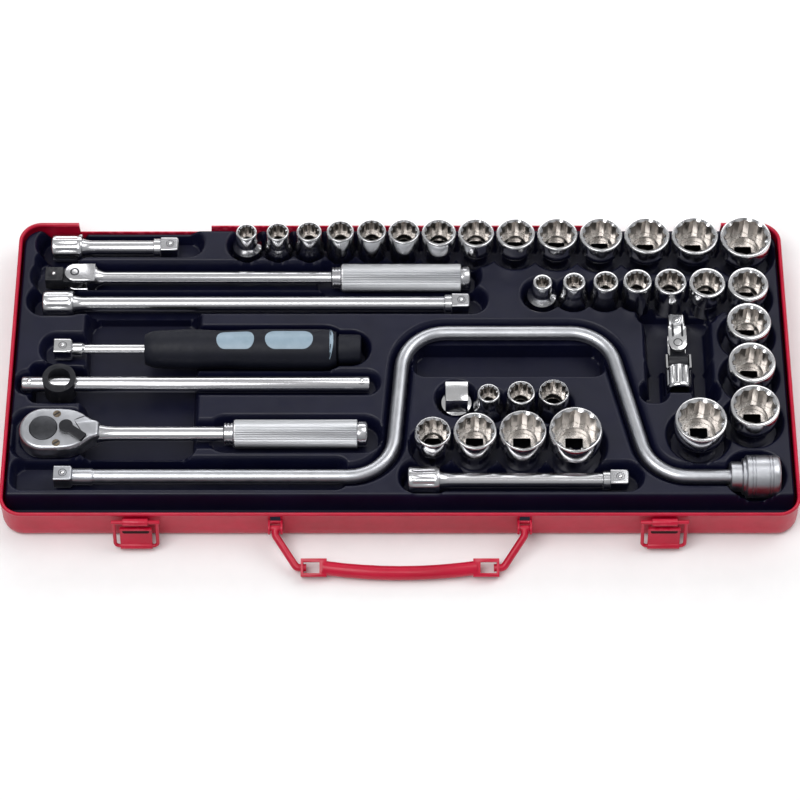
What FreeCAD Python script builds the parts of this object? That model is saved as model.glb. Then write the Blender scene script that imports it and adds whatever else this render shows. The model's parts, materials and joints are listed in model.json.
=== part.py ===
import FreeCAD, Part
import Sketcher
import math
import os
from types import SimpleNamespace
from FreeCAD import Placement, Rotation, Vector

# Socket wrench set in a sheet-steel case: the open base, the formed tray and every tool in it.
# Millimetres. X runs along the case, +Y to its back, +Z up. The origin is the middle of its underside.

os.makedirs("parts", exist_ok=True)
doc = FreeCAD.newDocument("socket_set")
sheet = doc.addObject("Spreadsheet::Sheet", "dim")

SIZES = {
    # case
    "case_length": 450, "case_depth": 200, "case_height": 24, "case_corner": 13, "case_sheet": 1.0,
    "rim_width": 2.2, "rim_height": 2.4,
    "back_step_length": 380, "back_step_drop": 3, "notch_length": 78, "notch_drop": 6, "notch_offset": 151,
    # tray
    "tray_gap": 0.6, "tray_top": 20, "tray_wall": 0.8, "tray_ledge": 11, "tray_ledge_floor": 8,
    "recess_side": 1.0, "recess_seat": 0.3, "deep_floor": 2.0, "socket_floor": 7.5, "adaptor_floor": 4.0,
    "left_trough_start": -181, "left_trough_end": -118, "left_trough_front": 14, "left_trough_back": 26,
    "loop_trough_start": 10, "loop_trough_end": 116, "loop_trough_front": 1, "loop_trough_back": 19,
    "joint_trough_half": 18, "joint_trough_front": -19, "joint_trough_back": 43, "joint_trough_middle": 5,
    "joint_lobe_depth": 4, "joint_side_width": 9,
    # square drive
    "drive": 9.5, "drive_hole": "=drive + 0.2", "drive_depth": 11, "tang_length": 10.5,
    "fit": 0.15,
    # extension bars
    "bar_end_dia": "=drive * 32 / 19", "bar_end_length": 18, "bar_taper_length": 5, "bar_neck_dia": 11,
    "bar_shank_dia": 8.8, "bar_collar_length": 4.5, "bar_axis_height": 14.5,
    "short_bar_length": 75, "medium_bar_length": 125, "long_bar_length": 250,
    # flex handle
    "flex_length": 250, "flex_axis_height": 16, "flex_cheek_width": 12, "flex_cheek_height": 13,
    "flex_slot": 6.4, "flex_tongue": 6.0, "flex_pin_dia": 4, "flex_shoulder": 7, "flex_clevis_length": 12,
    "flex_shank_dia": 7.5, "flex_taper": 5, "flex_well_end": 3.5, "flex_well_front": 8.5,
    "flex_well_back": 13.5, "flex_well_depth": 8, "grip_dia": 16.5, "grip_length": 71, "grip_collar_dia": 13,
    "grip_collar_length": 5.5, "grip_end_dia": 14.5, "grip_end_length": 5.5,
    # spinner handle
    "spinner_axis_height": 18, "spinner_neck_dia": 8, "spinner_neck_length": 7, "spinner_shank_dia": 6,
    "spinner_shank_length": 35, "spinner_insert": 60, "spinner_grip_dia": 23.4, "spinner_waist_dia": 21.6,
    "spinner_nose_dia": 18, "spinner_nose_length": 5, "spinner_swell_length": 24, "spinner_waist_length": 16,
    "spinner_rise_length": 20, "spinner_barrel_length": 38, "spinner_round_length": 8,
    "spinner_knob_dia": 17.5, "spinner_knob_length": 14,
    # sliding bar
    "slide_bar_dia": 9.4, "slide_bar_length": 200, "slide_bar_height": 17, "slide_head_dia": 19.2,
    "slide_head_bore": 13, "slide_head_top": 7.3, "slide_head_bottom": 6.7, "slide_tang_length": 7.5,
    "slide_head_offset": 21.8, "slide_well_side": 1.2, "slide_well_left": 4, "slide_well_right": 5,
    # ratchet
    "ratchet_length": 198, "ratchet_axis_height": 19, "ratchet_head_dia": 28, "ratchet_head_thick": 12,
    "ratchet_head_bottom": 14, "ratchet_cheek_offset": 17, "ratchet_cheek_half": 12.8,
    "ratchet_flank_offset": 25, "ratchet_flank_half": 9, "ratchet_neck_side": 0.8, "ratchet_root": 4,
    "ratchet_well_end": 1.5, "ratchet_disc_rise": 0.2, "ratchet_neck_offset": 30, "ratchet_shank_dia": 8.6,
    "ratchet_disc_dia": 15.7, "ratchet_lever_offset": 13.2, "ratchet_lever_dia": 8, "ratchet_lever_length": 13,
    "ratchet_lever_thick": 2.6, "ratchet_stem_dia": 4, "ratchet_stem_length": 6, "ratchet_lever_rest": 36,
    # speed brace
    "brace_dia": 8.3, "brace_height": 17, "brace_neck_dia": 9.4, "brace_neck_length": 11,
    "brace_bend": 26, "knob_dia": 24.5, "knob_length": 28, "knob_collar_dia": 17, "knob_collar_length": 6.6,
    "knob_step_dia": 20.5, "knob_step_length": 2, "knob_wall": 4, "knob_chamfer": 1.5, "brace_well_end": 2,
    # universal joint
    "joint_height": 15, "joint_dia": "=drive * 1.64", "joint_female_length": 14.5, "joint_pin_dia": 3.4,
    "joint_block_dia": 8.4, "joint_block_width": 11, "joint_cheek_gap": 11.6, "joint_pin_spacing": 9.9,
    "joint_web": 6.2, "joint_yoke_gap": 6.8, "joint_yoke_width": 10.8, "joint_yoke_height": 12.4,
    "joint_crotch": 5.5, "joint_cheek_half": 4, "joint_yoke_length": 11.8,
    "joint_pin_inset": 0.6, "joint_cheek_round": 0.2, "joint_yoke_clear": 0.9,
    # drive adaptor
    "adaptor_dia": "=drive * 1.82", "adaptor_body": 10.7, "adaptor_drive": "=drive * 4 / 3",
    "adaptor_tang": 12.5,
    # sockets
    "socket_base_dia": 17, "socket_base_share": 0.8, "socket_height": 24.5, "socket_growth": 0.25,
    "socket_skirt_share": 0.42, "socket_taper_share": 0.16, "socket_drive_depth": 11,
    "socket_bore_share": 0.8, "socket_ledge": 4.5, "socket_gap": 1.4,
    # carry handle
    "handle_reach": 69.8, "handle_hinge_height": 15, "handle_hinge_out": 3.5, "handle_pin_dia": 3.6,
    "handle_rod_dia": 4.2, "handle_root": 4, "handle_bend": 3, "handle_drop": 22, "handle_droop": 26,
    "handle_inner": 57.9, "handle_end": 52.5, "grip_tube_dia": 8, "grip_tube_length": 86, "grip_bow": 3,
    "grip_total": 107,
    "grip_rail": 2, "grip_frame_height": 6, "grip_frame_width": 10.2, "grip_block": 1.5,
    "grip_stop": 4, "bracket_ear": 1.2, "bracket_gap": 5.8, "bracket_plate": 1.0, "bracket_height": 13,
    "bracket_drop": 4, "wall_hole_height": 5.5, "wall_hole_drop": 0.3,
    # latches
    "latch_offset": 148, "latch_hinge_height": 20.2, "latch_hinge_out": 2.6, "latch_lean": 19,
    "latch_wire": 2.0, "latch_bar": 2.3, "latch_bend": 2.5, "latch_stub": 1.6, "latch_span": 24,
    "latch_length": 17.3, "latch_knuckle": 4.4, "latch_knuckle_length": 14,
    "latch_lever_width": 18, "latch_lever_thick": 1.2, "latch_lever_knuckle": 3.8, "latch_lever_gap": 3.6,
    "latch_lip_height": 2, "latch_plate_height": 9, "latch_plate_thick": 0.9, "latch_web_thick": 1,
}

# Where each tool lies: the left end of its axis along X, and its axis across the case.
PLACES = {
    "short_bar_left": -206, "short_bar_across": 88,
    "flex_left": -208.5, "flex_across": 65.5,
    "long_bar_left": -209, "long_bar_across": 48,
    "spinner_left": -200, "spinner_across": 14,
    "slide_bar_left": -217.5, "slide_bar_across": -9.4,
    "ratchet_left": -216.5, "ratchet_across": -44,
    "brace_left": -195.4, "brace_front": -71, "brace_back": 26,
    "brace_leg_front": -5.3, "brace_leg_back": 2.8, "brace_far_back": 119.5, "brace_far_front": 142.5,
    "brace_knob_left": 186.4,
    "medium_bar_left": 4.5, "medium_bar_across": -72,
    "joint_along": 161, "joint_pin_across": 7,
    "adaptor_along": 32.4, "adaptor_across": -20.5,
    "back_row_left": -90.3, "back_row_edge": 95.5,
    "second_row_left": 83, "second_row_edge": 60,
    "column_along": 201, "column_gap": 1.9,
    "lone_socket_along": 170, "lone_socket_across": -45,
    "middle_row_left": "=adaptor_along + adaptor_dia / 2 + 9.45", "middle_row_across": -25,
    "front_row_left": 18.6, "front_row_across": -51.8,
}

# Hex across flats and outside diameter of the wrench end of every socket, row by row.
METRIC = [(8, 12.3), (9, 13.2), (10, 14.7), (11, 16), (12, 17), (13, 18.2), (14, 20), (15, 21),
          (16, 22.6), (17, 23.5), (18, 24.8), (19, 26.3), (20, 27), (22, 29.5)]
INCH_NAMES = ["1_4", "5_16", "3_8", "7_16", "1_2", "9_16", "5_8", "11_16", "3_4", "13_16", "7_8"]
INCH = [(6.35, 11.3), (7.94, 13.3), (9.53, 14.8), (11.11, 16.8), (12.7, 18.6), (14.29, 21), (15.88, 23.4),
        (17.46, 25.5), (19.05, 27), (20.64, 28), (22.23, 29.5)]
WHITWORTH_NAMES = ["1_8", "3_16", "1_4", "5_16", "3_8", "7_16", "1_2"]
WHITWORTH = [(8.64, 12.9), (11.3, 15.9), (13.34, 17.4), (15.24, 20.3), (18.03, 24.4), (20.83, 26.6),
             (23.37, 30)]

X_AXIS = Rotation(Vector(0, 0, 1), Vector(1, 0, 0))
Y_AXIS = Rotation(Vector(0, 0, 1), Vector(0, 1, 0))
UPRIGHT = Rotation()

for row, (alias, size) in enumerate({**SIZES, **PLACES}.items(), start=1):
    sheet.set(f"A{row}", alias)
    sheet.set(f"B{row}", str(size))
    sheet.setAlias(f"B{row}", alias)
doc.recompute()
dim = SimpleNamespace(**{alias: float(sheet.get(alias)) for alias in {**SIZES, **PLACES}})
nodes = {}


# ---------------------------------------------------------------- helpers

def number(formula):
    """The value of a formula over the sheet's cells."""
    return float(sheet.evalExpression(str(formula)))


def solid(kind, name, place, turn=UPRIGHT, **sizes):
    """A Part primitive with every size bound to a formula over the sheet."""
    piece = doc.addObject(kind, name)
    for prop, formula in sizes.items():
        piece.setExpression(prop, str(formula))
    piece.Placement = Placement(Vector(*place), turn)
    return piece


def cylinder(name, place, turn, dia, length):
    return solid("Part::Cylinder", name, place, turn, Radius=f"({dia}) / 2", Height=length)


def block(name, corner, length, width, height):
    return solid("Part::Box", name, corner, Length=length, Width=width, Height=height)


def centred_block(name, centre, length, width, height):
    """A box centred in X, Y and Z."""
    sizes = [number(formula) for formula in (length, width, height)]
    corner = [middle - size / 2 for middle, size in zip(centre, sizes)]
    return block(name, corner, length, width, height)


def fuse(name, pieces):
    joined = doc.addObject("Part::MultiFuse", name)
    joined.Shapes = pieces
    joined.Refine = True
    return joined


def cut(name, base, tool):
    remainder = doc.addObject("Part::Cut", name)
    remainder.Base = base
    remainder.Tool = tool
    remainder.Refine = True
    return remainder


def group(name, pieces):
    together = doc.addObject("Part::Compound", name)
    together.Links = pieces
    return together


def node(name, piece):
    piece.Label = name
    nodes[name] = piece
    return piece


def turned(name, place, turn, sections):
    """Coaxial sections one after another: (length, first diameter, last diameter) formulas."""
    pieces = []
    start = Vector(*place)
    along = turn.multVec(Vector(0, 0, 1))
    for step, (length, first, last) in enumerate(sections):
        label = f"{name}_{step}"
        if first == last:
            pieces.append(cylinder(label, start, turn, first, length))
        else:
            pieces.append(solid("Part::Cone", label, start, turn, Radius1=f"({first}) / 2",
                                Radius2=f"({last}) / 2", Height=length))
        start = start + along * number(length)
    return pieces


def padded(name, outline, floor, height):
    """A PartDesign body: a closed outline of edges on the XY plane, padded up from a level."""
    body = doc.addObject("PartDesign::Body", name)
    sketch = body.newObject("Sketcher::SketchObject", name + "_outline")
    plane = next(item for item in body.Origin.OriginFeatures if item.Role == "XY_Plane")
    sketch.AttachmentSupport = (plane, [""])
    sketch.MapMode = "FlatFace"
    sketch.addGeometry(outline, False)
    pad = body.newObject("PartDesign::Pad", name + "_pad")
    pad.Profile = sketch
    pad.setExpression("Length", str(height))
    body.Tip = pad
    body.Placement = Placement(Vector(0, 0, floor), UPRIGHT)
    doc.recompute()
    return body


def rounded_block(name, length, depth, corner, floor, height):
    """A PartDesign body: a centred rectangle padded up, its upright edges rounded."""
    body = doc.addObject("PartDesign::Body", name)
    sketch = body.newObject("Sketcher::SketchObject", name + "_outline")
    plane = next(item for item in body.Origin.OriginFeatures if item.Role == "XY_Plane")
    sketch.AttachmentSupport = (plane, [""])
    sketch.MapMode = "FlatFace"
    half_length = number(length) / 2
    half_depth = number(depth) / 2
    corners = [Vector(-half_length, -half_depth, 0), Vector(half_length, -half_depth, 0),
               Vector(half_length, half_depth, 0), Vector(-half_length, half_depth, 0)]
    for index in range(4):
        sketch.addGeometry(Part.LineSegment(corners[index], corners[(index + 1) % 4]), False)
    for index in range(4):
        sketch.addConstraint(Sketcher.Constraint("Coincident", index, 2, (index + 1) % 4, 1))
    for index in (0, 2):
        sketch.addConstraint(Sketcher.Constraint("Horizontal", index))
        sketch.addConstraint(Sketcher.Constraint("Vertical", index + 1))
    sketch.addConstraint(Sketcher.Constraint("Symmetric", 0, 1, 1, 2, -1, 1))
    across = sketch.addConstraint(Sketcher.Constraint("DistanceX", 0, 1, 0, 2, 2 * half_length))
    deep = sketch.addConstraint(Sketcher.Constraint("DistanceY", 1, 1, 1, 2, 2 * half_depth))
    sketch.setExpression(f"Constraints[{across}]", length)
    sketch.setExpression(f"Constraints[{deep}]", depth)
    pad = body.newObject("PartDesign::Pad", name + "_pad")
    pad.Profile = sketch
    pad.setExpression("Length", str(height))
    doc.recompute()
    upright = [f"Edge{index}" for index, edge in enumerate(pad.Shape.Edges, start=1)
               if abs(edge.tangentAt(edge.FirstParameter).z) > 0.99]
    rounding = body.newObject("PartDesign::Fillet", name + "_corners")
    rounding.Base = (pad, upright)
    rounding.setExpression("Radius", str(corner))
    body.Tip = rounding
    body.Placement = Placement(Vector(0, 0, floor), UPRIGHT)
    doc.recompute()
    return body


# ---------------------------------------------------------------- case

def make_case():
    """A deep-drawn steel base: thin walls, a hemmed rim, a stepped back edge and two lid notches."""
    outer = rounded_block("case_outer", "dim.case_length", "dim.case_depth", "dim.case_corner",
                          0, "dim.case_height")
    inner = rounded_block("case_inner", "dim.case_length - 2 * dim.case_sheet",
                          "dim.case_depth - 2 * dim.case_sheet", "dim.case_corner - dim.case_sheet",
                          dim.case_sheet, "dim.case_height")
    rim_floor = dim.case_height - dim.rim_height
    rim_outer = rounded_block("rim_outer", "dim.case_length", "dim.case_depth", "dim.case_corner",
                              rim_floor, "dim.rim_height")
    rim_inner = rounded_block("rim_inner", "dim.case_length - 2 * dim.rim_width",
                              "dim.case_depth - 2 * dim.rim_width", "dim.case_corner - dim.rim_width",
                              rim_floor - dim.rim_height, "3 * dim.rim_height")
    shell = fuse("case_shell", [cut("case_walls", outer, inner), cut("case_rim", rim_outer, rim_inner)])
    cuts = [centred_block("back_step", (0, dim.case_depth / 2, dim.case_height), "dim.back_step_length",
                          "4 * dim.rim_width", "2 * dim.back_step_drop")]
    for side in (-1, 1):
        cuts.append(centred_block(f"lid_notch_{side + 1}",
                                  (side * dim.notch_offset, dim.case_depth / 2, dim.case_height),
                                  "dim.notch_length", "4 * dim.rim_width",
                                  "2 * (dim.back_step_drop + dim.notch_drop)"))
        cuts.append(centred_block(f"wall_hole_{side + 1}",
                                  (side * dim.handle_reach, -dim.case_depth / 2, wall_hole_height()),
                                  "dim.bracket_gap", "4 * dim.rim_width", "dim.wall_hole_height"))
    return node("case_base", cut("case_base", shell, fuse("case_cuts", cuts)))


def wall_hole_height():
    """The holes above the handle brackets end just below the rim."""
    return dim.case_height - dim.rim_height - dim.wall_hole_height / 2 - dim.wall_hole_drop


# ---------------------------------------------------------------- tray

class Recesses:
    """The hollows formed in the tray: each is kept as the hollow and as its thin-walled outside."""

    def __init__(self):
        self.hollows = []
        self.shells = []

    def box(self, name, low_x, high_x, low_y, high_y, floor):
        for wall, store in ((0, self.hollows), (dim.tray_wall, self.shells)):
            corner = (low_x - wall, low_y - wall, floor - wall)
            length = high_x - low_x + 2 * wall
            width = high_y - low_y + 2 * wall
            height = f"dim.tray_top - {floor - wall} + {0 if wall else 1}"
            store.append(block(f"{name}_{len(store)}", corner, length, width, height))

    def cradle(self, name, start, end, across, dia, axis_height):
        """A trough for a round bar along X."""
        side = dia / 2 + dim.recess_side
        floor = axis_height - dia / 2 - dim.recess_seat
        self.box(name, start - dim.recess_side, end + dim.recess_side, across - side, across + side, floor)

    def well(self, name, along, across, dia, floor):
        for wall, store in ((0, self.hollows), (dim.tray_wall, self.shells)):
            height = f"dim.tray_top - {floor - wall} + {0 if wall else 1}"
            store.append(cylinder(f"{name}_{len(store)}", (along, across, floor - wall), UPRIGHT,
                                  f"{dia + 2 * dim.recess_side + 2 * wall}", height))

    def channel(self, name, route, dia, axis_height):
        """A groove that follows a bent rod's route, one side clearance wider all round."""
        for wall, store in ((0, self.hollows), (dim.tray_wall, self.shells)):
            strip = doc.addObject("Part::Offset2D", f"{name}_strip_{len(store)}")
            strip.Source = route
            strip.Mode = "Pipe"
            strip.setExpression("Value", f"{dia} / 2 + dim.recess_side + {wall}")
            groove = doc.addObject("Part::Extrusion", f"{name}_{len(store)}")
            groove.Base = strip
            groove.Dir = Vector(0, 0, 1)
            groove.Solid = True
            groove.setExpression("LengthFwd", f"dim.tray_top - {axis_height} + {0 if wall else 1}")
            groove.setExpression("LengthRev", f"{dia} / 2 + dim.recess_seat + {wall}")
            store.append(groove)


recesses = Recesses()


def make_tray():
    """One thin formed sheet: a flat top, a skirt down to the case floor and a hollow for every tool."""
    length = "dim.case_length - 2 * dim.rim_width - 2 * dim.tray_gap"
    depth = "dim.case_depth - 2 * dim.rim_width - 2 * dim.tray_gap"
    corner = "dim.case_corner - dim.rim_width - dim.tray_gap"
    outer = rounded_block("tray_outer", length, depth, corner, dim.case_sheet,
                          "dim.tray_top - dim.case_sheet")
    inner = rounded_block("tray_inner", length + " - 2 * dim.tray_wall", depth + " - 2 * dim.tray_wall",
                          corner + " - dim.tray_wall", dim.case_sheet - 1,
                          "dim.tray_top - dim.case_sheet - dim.tray_wall + 1")
    limit = rounded_block("tray_limit", length, depth, corner, dim.case_sheet,
                          "dim.tray_top - dim.case_sheet")
    hollow_shells = doc.addObject("Part::MultiCommon", "tray_tubs")
    hollow_shells.Shapes = [fuse("tray_tub_blocks", recesses.shells), limit]
    sheet_body = fuse("tray_sheet", [cut("tray_cover", outer, inner), hollow_shells])
    return node("tool_tray", cut("tool_tray", sheet_body, fuse("tray_hollows", recesses.hollows)))


def add_finger_troughs():
    """Deep hollows that let a hand get under the bars, inside the brace and round the joint."""
    half_length = dim.case_length / 2
    recesses.box("front_ledge", -half_length, half_length, -dim.case_depth / 2,
                 -dim.case_depth / 2 + dim.rim_width + dim.tray_ledge, dim.tray_ledge_floor)
    recesses.box("left_trough", dim.left_trough_start, dim.left_trough_end,
                 dim.ratchet_across - dim.left_trough_front, dim.spinner_across + dim.left_trough_back,
                 dim.deep_floor)
    recesses.box("loop_trough", dim.loop_trough_start, dim.loop_trough_end, dim.loop_trough_front,
                 dim.loop_trough_back, dim.deep_floor)
    low, high = dim.joint_along - dim.joint_trough_half, dim.joint_along + dim.joint_trough_half
    recesses.box("joint_trough", low, high, dim.joint_trough_middle, dim.joint_trough_back, dim.deep_floor)
    recesses.box("joint_lobes", low, high, dim.joint_trough_front,
                 dim.joint_trough_front + dim.joint_lobe_depth, dim.deep_floor)
    for word, start in (("left", low), ("right", high - dim.joint_side_width)):
        recesses.box(f"joint_side_{word}", start, start + dim.joint_side_width, dim.joint_trough_front,
                     dim.joint_trough_middle + 1, dim.deep_floor)


# ---------------------------------------------------------------- bars and handles

def make_extension(name, left, across, length):
    """A bar with a square hole in its thick end and a square tang at the other."""
    height = dim.bar_axis_height
    shank = (f"{length} - dim.bar_end_length - dim.bar_taper_length - dim.bar_collar_length"
             " - dim.tang_length")
    pieces = turned(name, (left, across, height), X_AXIS, [
        ("dim.bar_end_length", "dim.bar_end_dia", "dim.bar_end_dia"),
        ("dim.bar_taper_length", "dim.bar_neck_dia", "dim.bar_shank_dia"),
        (shank, "dim.bar_shank_dia", "dim.bar_shank_dia"),
        ("dim.bar_collar_length", "dim.bar_neck_dia", "dim.bar_neck_dia")])
    tang_start = left + number(length) - dim.tang_length
    pieces.append(centred_block(name + "_tang", (tang_start + dim.tang_length / 2, across, height),
                                "dim.tang_length", "dim.drive", "dim.drive"))
    hole = centred_block(name + "_hole", (left, across, height), "2 * dim.drive_depth",
                         "dim.drive_hole", "dim.drive_hole")
    thick_end = left + dim.bar_end_length + dim.bar_taper_length
    recesses.cradle(name + "_end", left, thick_end, across, dim.bar_end_dia, height)
    recesses.cradle(name + "_shank", thick_end, left + number(length), across, dim.drive * math.sqrt(2), height)
    return node(name, cut(name, fuse(name + "_solid", pieces), hole))


def make_flex_handle():
    """A long handle with a fork at its left end and a square head that swings on the fork's pin."""
    left, across, height = dim.flex_left, dim.flex_across, dim.flex_axis_height
    pin = left + dim.tang_length + dim.flex_shoulder
    shank_start = pin + dim.flex_clevis_length
    grip_end = left + dim.flex_length
    shank = (f"{grip_end - shank_start} - dim.flex_taper - dim.grip_collar_length - dim.grip_length"
             " - dim.grip_end_length")
    pieces = turned("flex_bar", (shank_start, across, height), X_AXIS, [
        ("dim.flex_taper", "dim.grip_collar_dia - 1", "dim.flex_shank_dia"),
        (shank, "dim.flex_shank_dia", "dim.flex_shank_dia"),
        ("dim.grip_collar_length", "dim.grip_collar_dia", "dim.grip_collar_dia"),
        ("dim.grip_length", "dim.grip_dia", "dim.grip_dia"),
        ("dim.grip_end_length", "dim.grip_end_dia", "dim.grip_end_dia")])
    cheek_bottom = height - dim.flex_cheek_height / 2
    cheeks = fuse("flex_cheeks", [
        cylinder("flex_cheek_round", (pin, across, cheek_bottom), UPRIGHT, "dim.flex_cheek_width",
                 "dim.flex_cheek_height"),
        block("flex_cheek_block", (pin, across - dim.flex_cheek_width / 2, cheek_bottom),
              "dim.flex_clevis_length", "dim.flex_cheek_width", "dim.flex_cheek_height")])
    slot_end = pin + dim.flex_shoulder
    slot = block("flex_slot_gap", (pin - dim.flex_cheek_width, across - dim.flex_cheek_width,
                                   height - dim.flex_slot / 2),
                 f"{slot_end - pin} + dim.flex_cheek_width", "2 * dim.flex_cheek_width", "dim.flex_slot")
    pivot = cylinder("flex_pin", (pin, across, cheek_bottom), UPRIGHT, "dim.flex_pin_dia",
                     "dim.flex_cheek_height")
    fork = cut("flex_fork", cheeks, slot)
    node("flex_handle_bar", fuse("flex_handle_bar", pieces + [fork, pivot]))

    tongue_bottom = height - dim.flex_tongue / 2
    tongue_dia = "dim.flex_cheek_width - 1"
    head = fuse("flex_head_solid", [
        centred_block("flex_anvil", (left + dim.tang_length / 2, across, height), "dim.tang_length",
                      "dim.drive", "dim.drive"),
        cylinder("flex_eye", (pin, across, tongue_bottom), UPRIGHT, tongue_dia, "dim.flex_tongue"),
        block("flex_tongue_bar", (left + dim.tang_length - 1, across - dim.drive / 2, tongue_bottom),
              "dim.flex_shoulder + 1", "dim.drive", "dim.flex_tongue")])
    bore = cylinder("flex_bore", (pin, across, tongue_bottom - 1), UPRIGHT, "dim.flex_pin_dia + dim.fit",
                    "dim.flex_tongue + 2")
    node("flex_handle_head", cut("flex_handle_head", head, bore))

    recesses.box("flex_head", left - dim.flex_well_end, pin, across - dim.flex_well_front,
                 across + dim.flex_well_back, height - dim.flex_well_depth)
    recesses.cradle("flex_fork", pin, shank_start, across, dim.flex_cheek_height, height)
    grip_start = grip_end - dim.grip_end_length - dim.grip_length - dim.grip_collar_length
    recesses.cradle("flex_shank", shank_start, grip_start, across, dim.grip_collar_dia, height)
    recesses.cradle("flex_grip", grip_start, grip_end, across, dim.grip_dia, height)


def make_spinner():
    """A screwdriver-style handle: a thin steel shank with a square tang, held in a soft waisted grip."""
    left, across, height = dim.spinner_left, dim.spinner_across, dim.spinner_axis_height
    neck = left + dim.tang_length
    grip_start = neck + dim.spinner_neck_length + dim.spinner_shank_length
    pieces = turned("spinner_rod", (neck, across, height), X_AXIS, [
        ("dim.spinner_neck_length", "dim.spinner_neck_dia", "dim.spinner_neck_dia"),
        ("dim.spinner_shank_length + dim.spinner_insert", "dim.spinner_shank_dia", "dim.spinner_shank_dia")])
    pieces.append(centred_block("spinner_tang", (left + dim.tang_length / 2, across, height),
                                "dim.tang_length", "dim.drive", "dim.drive"))
    node("spinner_shank", fuse("spinner_shank", pieces))

    full, waist = "dim.spinner_grip_dia", "dim.spinner_waist_dia"
    knob = "dim.spinner_knob_dia"
    body = fuse("spinner_grip_solid", turned("spinner_grip_part", (grip_start, across, height), X_AXIS, [
        ("dim.spinner_nose_length", "dim.spinner_nose_dia", waist), ("dim.spinner_swell_length", waist, full),
        ("dim.spinner_waist_length", full, waist), ("dim.spinner_rise_length", waist, full),
        ("dim.spinner_barrel_length", full, full), ("dim.spinner_round_length", full, f"{full} - 3"),
        ("dim.spinner_knob_length", knob, knob)]))
    grip_length = (dim.spinner_nose_length + dim.spinner_swell_length + dim.spinner_waist_length
                   + dim.spinner_rise_length + dim.spinner_barrel_length + dim.spinner_round_length
                   + dim.spinner_knob_length)
    bore = cylinder("spinner_bore", (grip_start - 1, across, height), X_AXIS,
                    "dim.spinner_shank_dia + dim.fit", "dim.spinner_insert + 2")
    node("spinner_grip", cut("spinner_grip", body, bore))
    recesses.cradle("spinner_rod", left, grip_start, across, dim.drive * math.sqrt(2), height)
    recesses.cradle("spinner_grip", grip_start, grip_start + grip_length, across, dim.spinner_grip_dia,
                    height)


def make_sliding_bar():
    """A plain round bar, and the ring-shaped head with a square tang that slides along it."""
    left, across, height = dim.slide_bar_left, dim.slide_bar_across, dim.slide_bar_height
    node("sliding_bar", cylinder("sliding_bar", (left, across, height), X_AXIS, "dim.slide_bar_dia",
                                 "dim.slide_bar_length"))
    along = left + dim.slide_head_offset
    bottom = height - dim.slide_head_bottom
    ring = cylinder("slide_ring", (along, across, bottom), UPRIGHT, "dim.slide_head_dia",
                    "dim.slide_head_top + dim.slide_head_bottom")
    tang = block("slide_tang", (along - dim.drive / 2, across - dim.drive / 2, bottom - dim.slide_tang_length),
                 "dim.drive", "dim.drive", "dim.slide_tang_length")
    well_floor = height - dim.slide_bar_dia / 2 - dim.recess_seat
    well = cylinder("slide_well", (along, across, well_floor), UPRIGHT, "dim.slide_head_bore",
                    "dim.slide_head_dia")
    passage = cylinder("slide_passage", (along - dim.slide_head_dia, across, height), X_AXIS,
                       "dim.slide_bar_dia + dim.fit", "2 * dim.slide_head_dia")
    node("sliding_head", cut("sliding_head", fuse("slide_solid", [ring, tang]),
                             fuse("slide_holes", [well, passage])))
    side = dim.slide_head_dia / 2 + dim.slide_well_side
    recesses.box("slide_head", along - side - dim.slide_well_left, along + side + dim.slide_well_right,
                 across - side, across + side, dim.deep_floor)
    recesses.cradle("slide_bar", left, left + dim.slide_bar_length, across, dim.slide_bar_dia, height)


def ratchet_outline(head_along, across, neck_along):
    """A round head whose flanks run back to full cheeks and then fall to the neck."""
    radius = dim.ratchet_head_dia / 2
    neck_half = dim.ratchet_shank_dia / 2 + dim.ratchet_neck_side
    flank = [(head_along, radius), (head_along + dim.ratchet_cheek_offset, dim.ratchet_cheek_half),
             (head_along + dim.ratchet_flank_offset, dim.ratchet_flank_half), (neck_along, neck_half)]
    upper = [Vector(along, across + half, 0) for along, half in flank]
    lower = [Vector(along, across - half, 0) for along, half in reversed(flank)]
    corners = upper + lower
    far = Vector(head_along - radius, across, 0)
    runs = [Part.LineSegment(first, last) for first, last in zip(corners, corners[1:])]
    return runs + [Part.Arc(lower[-1], far, upper[0])]


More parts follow.
